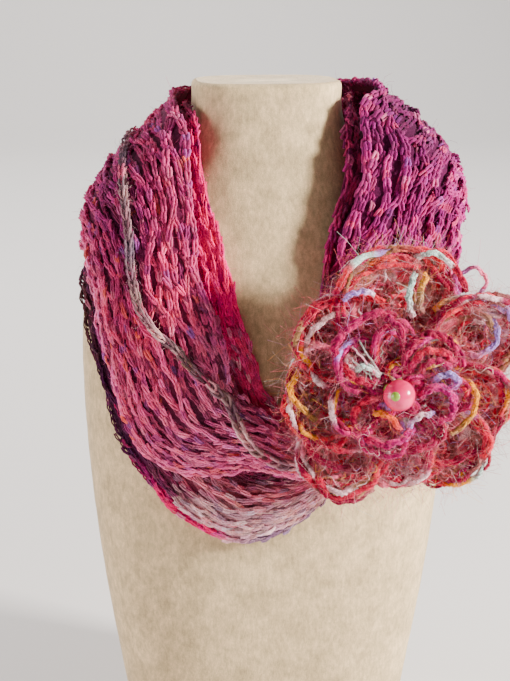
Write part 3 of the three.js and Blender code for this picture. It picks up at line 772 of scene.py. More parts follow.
def strandGuide(stretch, layer):
    # lays the strands of one stretch along the band and gives every stitch its place, turn and colour
    rows, strands, pitch = stretch["rows"], stretch["strands"], knitting["stitchLength"]
    seed = stretch["seed"] + layer["seed"]
    fine = np.linspace(*stretch["span"], knitting["samples"])
    parts = []
    for strand in range(strands):
        middle = (strand + layer["shift"]) / (strands - 1)
        if middle > 1 or not any(low <= middle <= high for low, high in stretch["seen"]):
            continue
        across, height = strandLine(stretch, layer, strand, middle, fine)
        line = bandPoints(rows, fine, across, height)
        run = runOf(line)
        marks = np.arange(pitch * (0.5 + knitting["stagger"] * (strand % 3 - 1)), run[-1] - 0.001, pitch)
        station, place, rise = (np.interp(marks, run, values) for values in (fine, across, height))
        outward, ahead = bandOutward(rows, station, place, rise), aheadAt(marks, run, line)
        low, high = np.maximum(place - 0.03, 0), np.minimum(place + 0.03, 1)
        room = np.linalg.norm(bandPoints(rows, station, high, rise) - bandPoints(rows, station, low, rise), axis=1)
        room = room / (high - low) / (strands - 1)
        tight = np.clip(room / knitting["roomPerStitch"], knitting["narrowest"], layer["widest"])
        tight = tight * (1 + 0.12 * wave(marks * 1000, seed * 7 + strand, 37))
        if rows is innerTurn and middle > knitting["hemFrom"]:  # the stitches of the hem lie close
            tight = np.minimum(tight, knitting["hemWidest"])
        dice = np.random.default_rng(seed * 101 + strand)
        wide, long, deep = (dice.uniform(*knitting[key], len(marks)) for key in ("widths", "lengths", "depths"))
        size = np.stack([tight * wide, long, deep * np.sqrt(tight)], 1)
        outward = unit(outward + dice.normal(0, knitting["facingSpread"], outward.shape))
        ahead = unit(ahead + dice.normal(0, knitting["headingSpread"], ahead.shape))
        # the lower layer's colours are darkened here: painted shade under the upper strands
        colours = withFlecks(stretch["tone"](station, place), seed * 211 + strand, stretch["flecks"]) * layer["shade"]
        parts.append((bandPoints(rows, station, place, rise), outward, ahead, size, colours))
    return stitchGuide("strandGuide", parts)


def bandPaintedShadeCloth(name, stretch):
    # the thin cloth that shows between the strands, darkened as painted shade in the gaps, with the main ribs pressed
    # into it
    rows, (steps, columns) = stretch["rows"], stretch["grid"]
    reach = (0.02, 0.985) if rows is outerTurn else (0.01, 1.012)
    station, across = np.meshgrid(np.linspace(*stretch["span"], steps), np.linspace(*reach, columns), indexing="ij")
    inner, hem = edgesOf(rows, station)
    across = inner + (hem - inner) * across
    lift = paintedShadeCloth["lift"]
    if rows is innerTurn:
        stand = paintedShadeCloth["swell"] * bump(station, hemSwell["station"], hemSwell["reach"])
        lift = lift + paintedShadeCloth["innerLift"] + stand * np.clip((across - 0.8) / 0.08, 0, 1)
    ribs = paintedShadeCloth["rib"] * np.cos(2 * math.pi * across * (columns - 1) / 4)
    lift = lift + ribs + crownLift(rows, station, across)
    points = bandPoints(rows, station, across, lift).reshape(-1, 3)
    # painted shade: the stretch's tone darkened towards the cloth's dark plum by the stretch's dark part
    colour = mix(stretch["tone"](station, across), paintedShadeCloth["tone"], np.full(station.shape, stretch["dark"]))
    cloth = meshPiece(name, points, [], ringFaces(steps, columns, closed=False), wool=opaque(colour.reshape(-1, 3)))
    middle = cloth.data.polygons[len(cloth.data.polygons) // 2]
    if middle.normal.x * middle.center.x + middle.normal.y * middle.center.y < 0:
        cloth.data.flip_normals()
    return thicken(cloth, paintedShadeCloth["thickness"], shadeClothWool)


# dark is how far the cloth under each stretch is darkened: painted shade between the strands
outerBand = dict(rows=outerTurn, tone=outerTones, flecks=outerFlecks, seed=3, wild=(4, 9, 13), seen=[(0, 1)],
                 dark=0.45)
innerBand = dict(rows=innerTurn, tone=innerTones, flecks=innerFlecks, seed=23, wild=(), dark=0.45)
stretches = [  # seen gives the parts of the width, from the neckline to the hem, that show
    dict(outerBand, node="front_left_stretch", slot="rose_wool", span=(0, 14), strands=20, flat=(0.105, 0.300),
         grid=(56, 35), dark=0.58),
    dict(outerBand, node="nape_upper", slot="plum_wool", span=(14, 18), strands=18, flat=(0.105, 0.110),
         grid=(20, 31)),
    dict(outerBand, node="front_right_stretch", slot="purple_wool", span=(18, 31), strands=19, flat=(0.105, 0.280),
         grid=(52, 35), dark=0.6, flecks=rightFlecks, seed=8, wild=(3, 8, 11)),
    dict(innerBand, node="under_lower_stretch", slot="mauve_wool", span=(0, 6), strands=29, flat=(0.100, 0.100),
         grid=(24, 37), dark=0.12, flecks=lowerFlecks, seed=21, seen=[(0, 0.2), (0.38, 1)]),
    dict(innerBand, node="under_left_stretch", slot="pink_wool", span=(6, 14), strands=23, flat=(0.095, 0.220),
         grid=(34, 27), dark=0.1, seen=[(0, 0.34), (0.76, 1)]),
    dict(innerBand, node="nape_lower", slot="plum_wool", span=(14, 18), strands=15, flat=(0.090, 0.110),
         grid=(20, 27), seen=[(0.5, 1)]),
    dict(innerBand, node="under_right_stretch", slot="purple_wool", span=(18, 30), strands=14, flat=(0.090, 0.260),
         grid=(44, 27), flecks=rightFlecks, seed=27, seen=[(0, 0.3), (0.72, 1)]),
]


def makeStrands(stretch, name, layer):
    return grow(strandGuide(stretch, layer), name, stitches, legSteps=layer["legSteps"], **knitting)


def makeStretch(stretch):
    node = stretch["node"]
    cloth = bandPaintedShadeCloth(node + "_ground", stretch)
    upper = makeStrands(stretch, node + "_strands", strandLayers["upper"])
    upper = grow(upper, node + "_strands", hairs, seed=stretch["seed"], **knitting["hairs"])
    lower = makeStrands(stretch, node + "_lower_strands", strandLayers["lower"])
    belong(stretch["slot"], node, cloth, lower, upper)
    print(node, "made with", sum(len(piece.data.polygons) for piece in (cloth, lower, upper)), "faces")


for stretch in reversed(stretches):
    makeStretch(stretch)

# the rolled edge, a flat chain of two layers that lies over the left stretch

edgeChain = dict(
    stitchLength=0.0058, stitchWidth=0.0072, stitchDepth=0.0023, yarnRadius=0.00155, legSides=7, legSteps=5,
    wool=knitWool, lift=8.2, layerDrop=1.5, layerShift=0.0028,
    flecks=[("smoke", 0.10), ("mauve", 0.06), ("rose", 0.06)],
    hairs=dict(hairsPerArea=60000.0, hairLength=0.005, hairRadius=0.00006, seed=9, tilt=1.3, hair=hairWool),
    rows=np.array([  # place along the outer turn and place across it
        [12.4, 0.24], [11.5, 0.29], [10.6, 0.37], [9.8, 0.42], [9, 0.44], [8.2, 0.42], [7.4, 0.36], [6.6, 0.29],
        [5.8, 0.26], [5, 0.22], [4.2, 0.15], [3.5, 0.13], [2.9, 0.24], [2.4, 0.42], [1.9, 0.58], [1.3, 0.62],
        [0.6, 0.52]]),
)


def makeChain():
    path = trackAt(edgeChain["rows"], np.linspace(0, len(edgeChain["rows"]) - 1, 500))
    line = bandPoints(outerTurn, path[:, 0], path[:, 1], edgeChain["lift"])
    run = runOf(line)
    parts = []
    for layer in range(2):
        marks = np.arange(0.001 + edgeChain["layerShift"] * layer, run[-1] - 0.001, edgeChain["stitchLength"])
        station, place = np.interp(marks, run, path[:, 0]), np.interp(marks, run, path[:, 1])
        outward, ahead = bandOutward(outerTurn, station, place, edgeChain["lift"]), aheadAt(marks, run, line)
        dice = np.random.default_rng(400 + layer)
        tilt = 0.22 * wave(marks * 1000, 61, 70)[:, None] * unit(np.cross(ahead, outward))
        outward = unit(outward + tilt + dice.normal(0, 0.1, outward.shape))
        low = np.clip((5.5 - station) / 2, 0, 1)  # the chain's low part is wider and more mauve
        size = dice.uniform(0.9, 1.1, (len(marks), 3))
        size[:, ::2] *= (1 + 0.35 * low)[:, None]
        tone = mix(tones["taupe"], tones["mauve"], 0.3 + 0.35 * low + 0.5 * wave(marks * 1000, 51, 42))
        tone = mix(tone, tones["smoke"], (0.9 - 0.5 * low) * wave(marks * 1000, 57, 60))
        spots = bandPoints(outerTurn, station, place, edgeChain["lift"] - edgeChain["layerDrop"] * layer)
        parts.append((spots, outward, -ahead, size, withFlecks(tone, 420 + layer, edgeChain["flecks"], 0.1)))
    chain = grow(stitchGuide("chainGuide", parts), "edge_chain_stitches", stitches, **edgeChain)
    chain = grow(chain, "edge_chain_stitches", hairs, **edgeChain["hairs"])
    belong("mauve_wool", "edge_chain", chain)


makeChain()
print("edge chain made")

# the flower: cupped petals of mohair yarn round a rosette, with a bead at its middle

flowerTones = dict(
    red=(204, 12, 64), scarlet=(228, 46, 70), crimson=(158, 6, 62), magenta=(180, 0, 94), fuchsia=(220, 26, 146),
    brown=(158, 98, 94), olive=(168, 126, 84), mint=(194, 218, 210), gold=(250, 168, 24), lavender=(184, 146, 222),
    ash=(230, 192, 198), rose=(244, 122, 152),
)
outerDyes = [("red", 5), ("scarlet", 2), ("crimson", 3.4), ("brown", 2), ("olive", 1), ("ash", 1.2), ("gold", 0.7),
             ("lavender", 0.6), ("mint", 0.5), ("magenta", 0.8)]
innerDyes = [("magenta", 5.4), ("red", 1.4), ("fuchsia", 2), ("crimson", 3), ("lavender", 0.9), ("ash", 0.8),
             ("gold", 0.5), ("mint", 0.4)]
webDyes = [("brown", 3), ("ash", 2.4), ("rose", 2), ("red", 2), ("olive", 1.2), ("crimson", 1)]
wispDyes = [("ash", 3), ("rose", 3), ("brown", 3), ("mint", 0.4), ("lavender", 0.6), ("gold", 0.6), ("red", 2)]
# paler dyes for the lower petals: painted light where they fall darker
paintedLightDyes = [("ash", 3), ("rose", 3)]

flower = dict(
    centre=(58, -90.2, 267), yaw=2, pitch=5, webThickness=0.0014,
    palePetals=("outer_petal_5", "outer_petal_6", "outer_petal_7"),
)
petalHairs = dict(hairRadius=0.00006, tilt=1.25, hairSteps=2, hair=mohairHair)
petalKinds = dict(
    outer=dict(
        twist=7.2, cup=5, dyes=outerDyes, web=webDyes, slot="flower_red_wool",
        rims=[  # reach, rise, radius
            (0.99, 1.6, 1.9), (0.88, 2.9, 1.7), (0.94, -0.6, 2.0), (0.78, 1.6, 1.5), (0.84, 0.2, 1.7),
            (1.03, 0.2, 1.1)],
        rimSteps=62, loops=7, loopSteps=34, wisps=16,
        hairs=dict(petalHairs, hairsPerArea=66000.0, hairLength=0.0130)),
    inner=dict(
        twist=5.4, cup=4, dyes=innerDyes, web=webDyes[1:4] + innerDyes[:2], slot="flower_magenta_wool",
        rims=[(0.98, 1.4, 1.7), (0.84, 2.4, 1.4), (0.90, -0.5, 1.7), (0.74, 1.0, 1.2)],
        rimSteps=44, loops=4, loopSteps=24, wisps=9,
        hairs=dict(petalHairs, hairsPerArea=70000.0, hairLength=0.0104)),
)
petalRim = dict(sweep=2.8, sway=0.06, rise=1.5, swell=0.2, dyeSpeed=2.2)
loopCurl = dict(
    sweep=(3.6, 6.0), shift=(0.08, 0.42), reach=(0.26, 0.48), wander=0.16, wanderLength=16, flat=0.85, limit=0.92,
    foot=1.5, step=0.35, rise=1.2, radius=(0.9, 1.5), swell=0.15, dyeSpeed=4)
wispCurl = dict(
    sweep=(3, 7), shift=(0.1, 0.6), reach=(0.2, 0.55), wander=0.3, wanderLength=12, flat=1, limit=1.12,
    foot=(2.4, 5.0), rise=1.4, radius=(0.16, 0.3), dyeSpeed=5, steps=24)
petalColumns = ("name", "points", "start", "end", "width", "lift", "lean")
petalRows = [
    ("outer_petal_1", 88, 20, 79, 70, 9.3, 4), ("outer_petal_2", 28, 22, 82, 52, 9.3, 4),
    ("outer_petal_3", -12, 22, 70, 44, 9.3, 3), ("outer_petal_4", -48, 20, 72, 48, 9.3, 3),
    ("outer_petal_5", -86, 22, 57, 38, 9.3, 2), ("outer_petal_6", -128, 18, 70, 48, 9.3, 3),
    ("outer_petal_7", -174, 18, 59, 52, 9.3, 3), ("outer_petal_8", 138, 18, 65, 48, 9.3, 3),
    ("inner_petal_1", 92, 10, 40, 26, 20, 4), ("inner_petal_2", 42, 10, 42, 27, 20.6, 4),
    ("inner_petal_3", -8, 10, 42, 27, 20, 4), ("inner_petal_4", -56, 10, 38, 26, 20, 4),
    ("inner_petal_5", -106, 10, 37, 28, 20, 4), ("inner_petal_6", -160, 10, 38, 30, 20, 4),
    ("inner_petal_7", 142, 10, 40, 28, 20, 4),
]
petals = [dict(zip(petalColumns, row), **petalKinds[row[0][:5]]) for row in petalRows]
flowerTurn = np.array(
    Matrix.Translation(Vector(flower["centre"]) * mm)
    @ Matrix.Rotation(math.radians(flower["yaw"]), 4, "Z")
    @ Matrix.Rotation(math.radians(90 - flower["pitch"]), 4, "X")
)


def inFlower(points):
    # millimetres in the flower's own frame (x right, y up, z out) to metres in the part's
    points = np.asarray(points, float) * mm
    return points @ flowerTurn[:3, :3].T + flowerTurn[:3, 3]


def petalPoints(petal, out, turn, rise=0.0):
    angle, start, end = math.radians(petal["points"]), petal["start"], petal["end"]
    x = (start + end) / 2 + (end - start) / 2 * out * np.cos(turn)
    y = petal["width"] / 2 * out * np.sin(turn)
    z = petal["lift"] + petal["lean"] * out * np.cos(turn) + petal["twist"] * out * np.sin(turn)
    z = z + petal["cup"] * out**2 + rise
    return np.stack([x * math.cos(angle) - y * math.sin(angle), x * math.sin(angle) + y * math.cos(angle), z], -1)


def yarnTones(length, seed, dyes, patch=26.0):
    # dyed yarn changes colour every few centimetres, with short blends between the dyes
    dice = np.random.default_rng(seed)
    names, shares = zip(*dyes)
    picks = dice.choice(len(names), 64, p=np.array(shares) / sum(shares))
    place = np.asarray(length) / patch + dice.uniform(0, 30)
    low = np.floor(place).astype(int) % 63
    part = np.clip((place - np.floor(place) - 0.72) / 0.28, 0, 1)
    wheel = np.array([flowerTones[names[pick]] for pick in picks], float)
    return np.clip(heather(mix(wheel[low], wheel[low + 1], part), dice), *dyeRange)


def yarnLines(name, lines, sides=8, twist=420.0, finish=mohair):
    # every line is (points in millimetres, radius in millimetres, colours, closed)
    points, edges, radii, colours = [], [], [], []
    for spots, radius, tint, closed in lines:
        start, count = len(points), len(spots)
        points.extend(inFlower(spots))
        edges += [(start + k, start + k + 1) for k in range(count - 1)]
        if closed:
            edges.append((start + count - 1, start))
        radii.extend(np.broadcast_to(radius, (count,)) * mm)
        colours.extend(tint)
    guide = meshPiece(name, points, edges, [], radius=np.array(radii), wool=opaque(colours))
    return grow(guide, name, yarn, yarnSides=sides, plyTwist=twist, wool=finish)


def petalWeb(petal, seed, dyes):
    # the fuzzy floor of a petal, a little ruffled, as a thin closed sheet
    turns = np.linspace(0, 2 * math.pi, 44, endpoint=False)
    points, colours = [petalPoints(petal, 0.0, 0.0)], [flowerTones["brown"]]
    rings = np.linspace(0.12, 0.97, 9)
    for out in rings:
        ruffle = 1.1 * out**2 * np.sin(7 * turns + seed) + 0.8 * out * wave(turns * 10, seed + 90, 14)
        points.extend(petalPoints(petal, out, turns, ruffle))
        colours.extend(yarnTones(turns * 40 + out * 70, seed * 5 + int(out * 40), dyes, 12.0))
    faces = fanFaces(0, 1, len(turns)) + ringFaces(len(rings), len(turns), 1, flipped=True)
    web = meshPiece(petal["name"] + "_web", inFlower(points), [], faces, wool=opaque(colours))
    return thicken(web, flower["webThickness"], mohair)


def curlOver(dice, curl, steps, seed):
    # a loose curl over a petal: its own angle, then its reach and turn from the petal's middle
    angle = dice.uniform(0, 6.3) + np.linspace(0, dice.uniform(*curl["sweep"]), steps)
    shift, aim = dice.uniform(*curl["shift"]), dice.uniform(0, 6.3)
    reach = dice.uniform(*curl["reach"]) * (1 + curl["wander"] * wave(angle * 10, seed, curl["wanderLength"]))
    u = shift * math.cos(aim) + reach * np.cos(angle)
    v = shift * math.sin(aim) + curl["flat"] * reach * np.sin(angle)
    return angle, np.minimum(np.hypot(u, v), curl["limit"]), np.arctan2(v, u)


def makePetal(petal, index):
    # ropes of yarn round the rim, loops and thin wisps over the web, and fine hairs on all but the wisps
    # the lower petals take paler dyes as well: painted light
    name, dyes = petal["name"], petal["dyes"] + (paintedLightDyes if petal["name"] in flower["palePetals"] else [])
    length = (petal["end"] - petal["start"]) + petal["width"]
    lines = []
    for strand, (out, rise, radius) in enumerate(petal["rims"]):
        seed = index * 20 + strand
        turns = np.linspace(-petalRim["sweep"], petalRim["sweep"], petal["rimSteps"])
        reach = out + petalRim["sway"] * wave(turns * 10, seed, 13)
        high = rise + petalRim["rise"] * wave(turns * 10, seed + 7, 14)
        thick = radius * (1 + petalRim["swell"] * wave(turns * 10, seed + 9, 16))
        tint = yarnTones(turns * length / petalRim["dyeSpeed"], seed + 300, dyes)
        lines.append((petalPoints(petal, reach, turns, high), thick, tint, False))
    dice = np.random.default_rng(index + 60)
    for loop in range(petal["loops"]):
        seed = index * 20 + 10 + loop
        angle, reach, turns = curlOver(dice, loopCurl, petal["loopSteps"], seed)
        high = loopCurl["foot"] + loopCurl["step"] * loop + loopCurl["rise"] * wave(angle * 10, seed + 7, 15)
        thick = dice.uniform(*loopCurl["radius"]) * (1 + loopCurl["swell"] * wave(angle * 10, seed + 3, 9))
        tint = yarnTones(angle * length / loopCurl["dyeSpeed"], seed + 300, webDyes + dyes[:3])
        lines.append((petalPoints(petal, reach, turns, high), thick, tint, False))
    strands = yarnLines(name + "_yarn", lines, sides=5)
    fine = []
    for wisp in range(petal["wisps"]):
        seed = 900 + index * 20 + wisp
        angle, reach, turns = curlOver(dice, wispCurl, wispCurl["steps"], seed)
        high = dice.uniform(*wispCurl["foot"]) + wispCurl["rise"] * wave(angle * 10, seed + 80, 14)
        tint = yarnTones(angle * length / wispCurl["dyeSpeed"], seed + 50, wispDyes)
        fine.append((petalPoints(petal, reach, turns, high), dice.uniform(*wispCurl["radius"]), tint, False))
    wisps = yarnLines(name + "_wisps", fine, sides=3, twist=0.0, finish=mohairHair)
    piece = joinPieces(name + "_mohair", [strands, petalWeb(petal, index + 1, petal["web"])])
    piece = grow(piece, name + "_mohair", hairs, seed=index + 40, **petal["hairs"])
    piece = joinPieces(name + "_mohair", [piece, wisps])
    belong(petal["slot"], name, piece)
    return piece


petalPieces = [makePetal(petal, index) for index, petal in enumerate(petals)]
print("petals made with", sum(len(piece.data.polygons) for piece in petalPieces), "faces")

# loose loops and bright yarns that lie over the petals, each along the way it is seen to run

looseYarns = [  # height above the flower's back, radius, dyes along the yarn, and its way across and down the photo
    (20, 1.7, ("brown", "olive", "red", "crimson"),
     [(334, 292), (356, 266), (380, 257), (397, 250), (421, 255), (442, 259), (459, 283), (465, 298)]),
    (22, 1.3, ("red", "scarlet", "red"), [(338, 300), (352, 280), (374, 268), (398, 266), (418, 270)]),
    (21, 1.5, ("gold", "scarlet", "brown"), [(352, 272), (372, 262), (392, 259), (408, 262), (420, 268)]),
    (22.5, 1.5, ("mint", "mint", "ash"), [(414, 276), (409, 290), (408, 305), (412, 318)]),
    (22, 1.6, ("gold", "olive", "brown"), [(424, 278), (420, 292), (418, 306), (420, 316)]),
    (22, 1.3, ("ash", "mint", "ash"), [(412, 262), (425, 258), (440, 262), (452, 275)]),
    (17, 1.0, ("lavender", "rose", "lavender"), [(459, 280), (473, 275), (484, 285), (484, 296), (476, 302)]),
    (20, 1.6, ("gold", "ash", "lavender", "ash"), [(432, 314), (451, 305), (477, 307), (499, 316), (510, 330)]),
    (20, 1.4, ("lavender", "lavender", "rose"), [(492, 328), (498, 343), (493, 356), (478, 363), (462, 360)]),
    (18, 1.5, ("scarlet", "brown", "red"), [(470, 312), (485, 304), (500, 306), (514, 314), (522, 330)]),
    (20, 1.6, ("red", "brown", "olive"), [(446, 322), (468, 318), (486, 326), (494, 344)]),
    (18, 1.9, ("crimson", "crimson", "red"), [(506, 420), (497, 447), (477, 462), (447, 471), (425, 469)]),
    (17, 1.3, ("crimson", "red", "crimson"),
     [(384, 472), (392, 480), (404, 485), (418, 487), (434, 481), (446, 474)]),
    (20, 1.7, ("red", "crimson", "brown"), [(318, 470), (322, 481), (330, 492), (344, 498), (360, 496), (373, 488)]),
    (21, 1.4, ("gold", "gold", "olive"), [(300, 362), (293, 371), (291, 382), (300, 396), (316, 413)]),
    (19, 1.8, ("red", "scarlet", "crimson", "brown"),
     [(287, 384), (285, 396), (290, 410), (304, 429), (322, 455), (346, 464), (366, 462)]),
    (21, 1.4, ("rose", "red", "ash"), [(312, 420), (326, 436), (344, 446), (362, 446)]),
    (20, 1.8, ("crimson", "red", "scarlet"),
     [(297, 347), (298, 326), (310, 309), (327, 297), (351, 292), (373, 297), (388, 306)]),
    (21.5, 1.4, ("brown", "ash", "brown"), [(308, 350), (307, 334), (316, 320), (332, 310), (350, 306)]),
    (21, 1.5, ("ash", "rose", "red"), [(300, 349), (305, 341), (318, 337), (334, 345), (341, 356)]),
    (27, 1.3, ("lavender", "lavender", "ash"), [(344, 296), (352, 291), (364, 290), (374, 293)]),
    (31, 1.5, ("mint", "mint", "ash"), [(356, 367), (362, 363), (370, 365), (379, 373)]),
    (31, 0.35, ("ash", "mint"), [(346, 350), (358, 360), (372, 376)]),
    (31.5, 0.4, ("ash", "rose"), [(352, 342), (364, 356), (377, 374)]),
    (31, 0.35, ("mint", "ash"), [(359, 337), (369, 354), (381, 372)]),
    (33, 1.6, ("lavender", "lavender", "fuchsia"),
     [(434, 386), (440, 380), (450, 380), (457, 386), (452, 393), (442, 393)]),
    (32, 1.4, ("lavender", "ash", "lavender"), [(409, 428), (416, 420), (425, 417), (434, 418)]),
    (30, 1.4, ("gold", "gold", "olive"), [(462, 388), (471, 392), (476, 405), (474, 418), (466, 430), (452, 440)]),
    (32, 1.4, ("gold", "scarlet"), [(374, 410), (384, 412), (394, 420), (400, 430)]),
    (32, 1.3, ("gold", "ash"), [(424, 371), (434, 368), (446, 367)]),
    (31, 2.0, ("magenta", "crimson", "magenta"),
     [(405, 374), (405, 360), (410, 348), (420, 340), (434, 338), (448, 347), (457, 358), (463, 372)]),
    (32, 1.8, ("magenta", "red", "magenta"), [(410, 372), (416, 360), (430, 354), (446, 360), (456, 370)]),
    (33, 1.6, ("crimson", "magenta"), [(420, 374), (428, 366), (440, 366), (450, 374)]),
    (32, 1.9, ("magenta", "fuchsia", "magenta", "crimson"),
     [(420, 400), (428, 392), (442, 392), (452, 402), (453, 416), (444, 425), (431, 423), (425, 412)]),
    (31, 1.8, ("crimson", "red", "rose"), [(354, 418), (356, 406), (366, 397), (380, 396)]),
    (31, 1.8, ("red", "magenta", "fuchsia"), [(362, 424), (370, 436), (384, 443), (400, 441), (414, 430)]),
    (30, 1.9, ("magenta", "crimson", "magenta"), [(398, 448), (414, 452), (430, 448), (444, 436)]),
    (30, 1.9, ("crimson", "magenta", "crimson"),
     [(342, 366), (336, 350), (338, 336), (348, 325), (364, 316), (380, 312), (394, 318)]),
    (31, 1.7, ("red", "crimson"), [(344, 358), (352, 372), (364, 378), (376, 382)]),
    (31, 1.8, ("magenta", "crimson"), [(384, 316), (396, 326), (402, 340), (402, 354)]),
]

looseStrands = dict(spacing=0.62, wander=0.35, radius=0.62, arch=2.2, tuck=2.4)
looseHairs = dict(hairsPerArea=62000.0, hairLength=0.011, hairRadius=0.00006, seed=91, tilt=1.3, hairSteps=2,
                  hair=mohairHair)
photoPlace = dict(centre=(399, 395), perMillimetre=1.82, beadTop=35.4)  # where the flower's middle is in the photo


def seenOn(track, height):
    # millimetres in the flower's frame for places read off the photo at a given height
    (acrossPhoto, downPhoto), scale = photoPlace["centre"], photoPlace["perMillimetre"]
    x = ((track[:, 0] - acrossPhoto) / scale - 0.246 * (height - photoPlace["beadTop"])) / 0.969
    y = ((downPhoto - track[:, 1]) / scale + 0.057 * x + 0.226 * (height - photoPlace["beadTop"])) / 0.972
    return np.stack([x, y, height], 1)


def makeLooseYarns():
    # each yarn is three soft strands that run side by side and cross a little
    lines, out = [], (0.0, 0.0, 1.0)
    for number, (height, radius, dyes, track) in enumerate(looseYarns):
        count = 8 * len(track)
        steps, part = np.linspace(0, len(track) - 1, count), np.linspace(0, 1, count)
        way = trackAt(np.array(track, float), steps)
        way = way + 0.9 * np.stack([wave(steps * 10, 500 + number, 12), wave(steps * 10, 560 + number, 12)], 1)
        arch = np.sin(math.pi * part)
        high = height + looseStrands["arch"] * arch - looseStrands["tuck"] * (1 - arch) ** 3
        middle = seenOn(way, high + 0.8 * wave(steps * 10, 620 + number, 14))
        side = unit(np.cross(unit(np.gradient(middle, axis=0)), out))
        wheel = np.array([flowerTones[name] for name in dyes], float)
        colour = trackAt(wheel, part * (len(wheel) - 1))
        for strand in (-1, 0, 1):
            seed = 700 + number * 3 + strand
            drift = looseStrands["spacing"] * strand + looseStrands["wander"] * wave(steps * 10, seed, 13)
            rise = looseStrands["wander"] * wave(steps * 10, seed + 200, 11) - 0.25 * abs(strand)
            place = middle + radius * (drift[:, None] * side + rise[:, None] * out)
            dice = np.random.default_rng(seed)
            tint = np.clip(heather(colour * dice.uniform(0.86, 1.1), dice), *dyeRange)
            thick = radius * looseStrands["radius"] * (1 + 0.12 * wave(steps * 10, seed + 400, 12))
            lines.append((place, thick, tint, False))
    piece = yarnLines("flower_loose_yarns", lines, sides=5)
    piece = grow(piece, "flower_loose_yarns", hairs, **looseHairs)
    belong("flower_red_wool", None, piece)
    print("loose yarns made with", len(piece.data.polygons), "faces")


makeLooseYarns()

# the rosette under the bead: five curls of magenta yarn round a wound heart

rosette = dict(
    curls=5, curlRadius=5.4, curlReach=11.6, height=26.6, yarnRadius=1.45,
    rings=5, ringReach=10.2, ringFoot=6.0, ringRise=4.4, ringYarn=2.2,
    hairs=dict(hairsPerArea=60000.0, hairLength=0.008, hairRadius=0.00008, seed=77, tilt=1.2, hair=mohairHair),
)


def makeRosette():
    lines = []
    angle = np.linspace(0, 2 * math.pi, 30, endpoint=False)
    for curl in range(rosette["curls"]):
        middle = 2 * math.pi * curl / rosette["curls"] + 0.3
        for turn in range(3):
            seed = 700 + curl * 5 + turn
            reach = rosette["curlRadius"] * (1.0 - 0.26 * turn) * (1 + 0.1 * wave(angle * 10, seed, 20))
            x = rosette["curlReach"] * math.cos(middle) + reach * np.cos(angle)
            y = rosette["curlReach"] * math.sin(middle) + reach * np.sin(angle)
            z = rosette["height"] + 1.0 * turn + 1.6 * np.sin(angle - middle) + 0.5 * wave(angle * 10, seed + 3, 25)
            lines.append((np.stack([x, y, z], 1), rosette["yarnRadius"], yarnTones(angle * 8, seed, innerDyes), True))
    angle = np.linspace(0, 2 * math.pi, 40, endpoint=False)
    for ring in range(rosette["rings"]):
        reach = rosette["ringReach"] + 1.0 * wave(angle * 10, 740 + ring, 20)
        z = rosette["ringFoot"] + rosette["ringRise"] * ring + 0.8 * wave(angle * 10, 750 + ring, 22)
        lines.append((np.stack([reach * np.cos(angle), reach * np.sin(angle), z], 1), rosette["ringYarn"],
                      yarnTones(angle * 10, 760 + ring, innerDyes), True))
    piece = yarnLines("flower_heart_curls", lines)
    belong("flower_magenta_wool", "flower_heart", grow(piece, "flower_heart_curls", hairs, **rosette["hairs"]))


# the backing, a round of felt with a soft edge, behind the petals

backing = dict(
    sides=72, edgeWander=0.35, dark=(84, 26, 44), light=(150, 56, 76),
    profile=[  # reach and height from the middle of its back to the middle of its front
        (0.4, 0.05), (20, 0.0), (34.6, 0.1), (35.7, 0.7), (36, 1.9), (35.7, 3.2), (34.6, 3.9), (20, 4.0),
        (0.4, 3.95)],
)


def feltMaterial():
    material, tree, shader = openMaterial("pressedFelt", {"Roughness": 0.95, "Sheen Weight": 0.3})
    fibre = noise(tree, addNode(tree, "ShaderNodeTexCoord").outputs["Object"], 700, 4)
    tone = twoTones(tree, fibre, (0.3, backing["dark"]), (0.7, backing["light"]))
    tree.links.new(tone, shader.inputs["Base Color"])
    addBump(tree, shader, fibre, 0.5, 0.0004)
    return material


def makeBacking():
    angle = np.linspace(0, 2 * math.pi, backing["sides"], endpoint=False)
    points = []
    for reach, height in backing["profile"]:
        reach = reach + (backing["edgeWander"] * wave(angle * 10, 801, 9) if reach > 30 else 0)
        points.extend(np.stack([reach * np.cos(angle), reach * np.sin(angle), np.full(angle.shape, height)], 1))
    felt = meshPiece("flower_backing_felt", inFlower(points), [], closedRings(len(backing["profile"]), len(angle)))
    belong("flower_felt", "flower_backing", wear(felt, feltMaterial()))


# the bead: glossy pink with small green dots let into it

bead = dict(
    diameter=17.5, seat=26.6, sides=72, bands=48, glaze=((228, 8, 92), (248, 44, 118)),
    dotTones=((104, 142, 44), (150, 182, 62)), dotRadius=2.75, dotSides=24, dotRings=6, dotBend=1.45,
    dotSunk=0.9, dotHeight=1.65,
    dots=((-0.47, 0.15, 0.85), (0.84, 0.30, -0.45), (-0.8, 0.5, -0.4), (0.2, -0.9, -0.3), (0.1, 0.85, -0.5),
          (-0.3, -0.5, -0.8)),
)


def glossMaterial(name, dark, light):
    material, tree, shader = openMaterial(name, {"Roughness": 0.22, "Coat Weight": 0.45, "Coat Roughness": 0.05})
    cloud = noise(tree, addNode(tree, "ShaderNodeTexCoord").outputs["Object"], 90, 3)
    tree.links.new(twoTones(tree, cloud, (0.35, dark), (0.65, light)), shader.inputs["Base Color"])
    return material


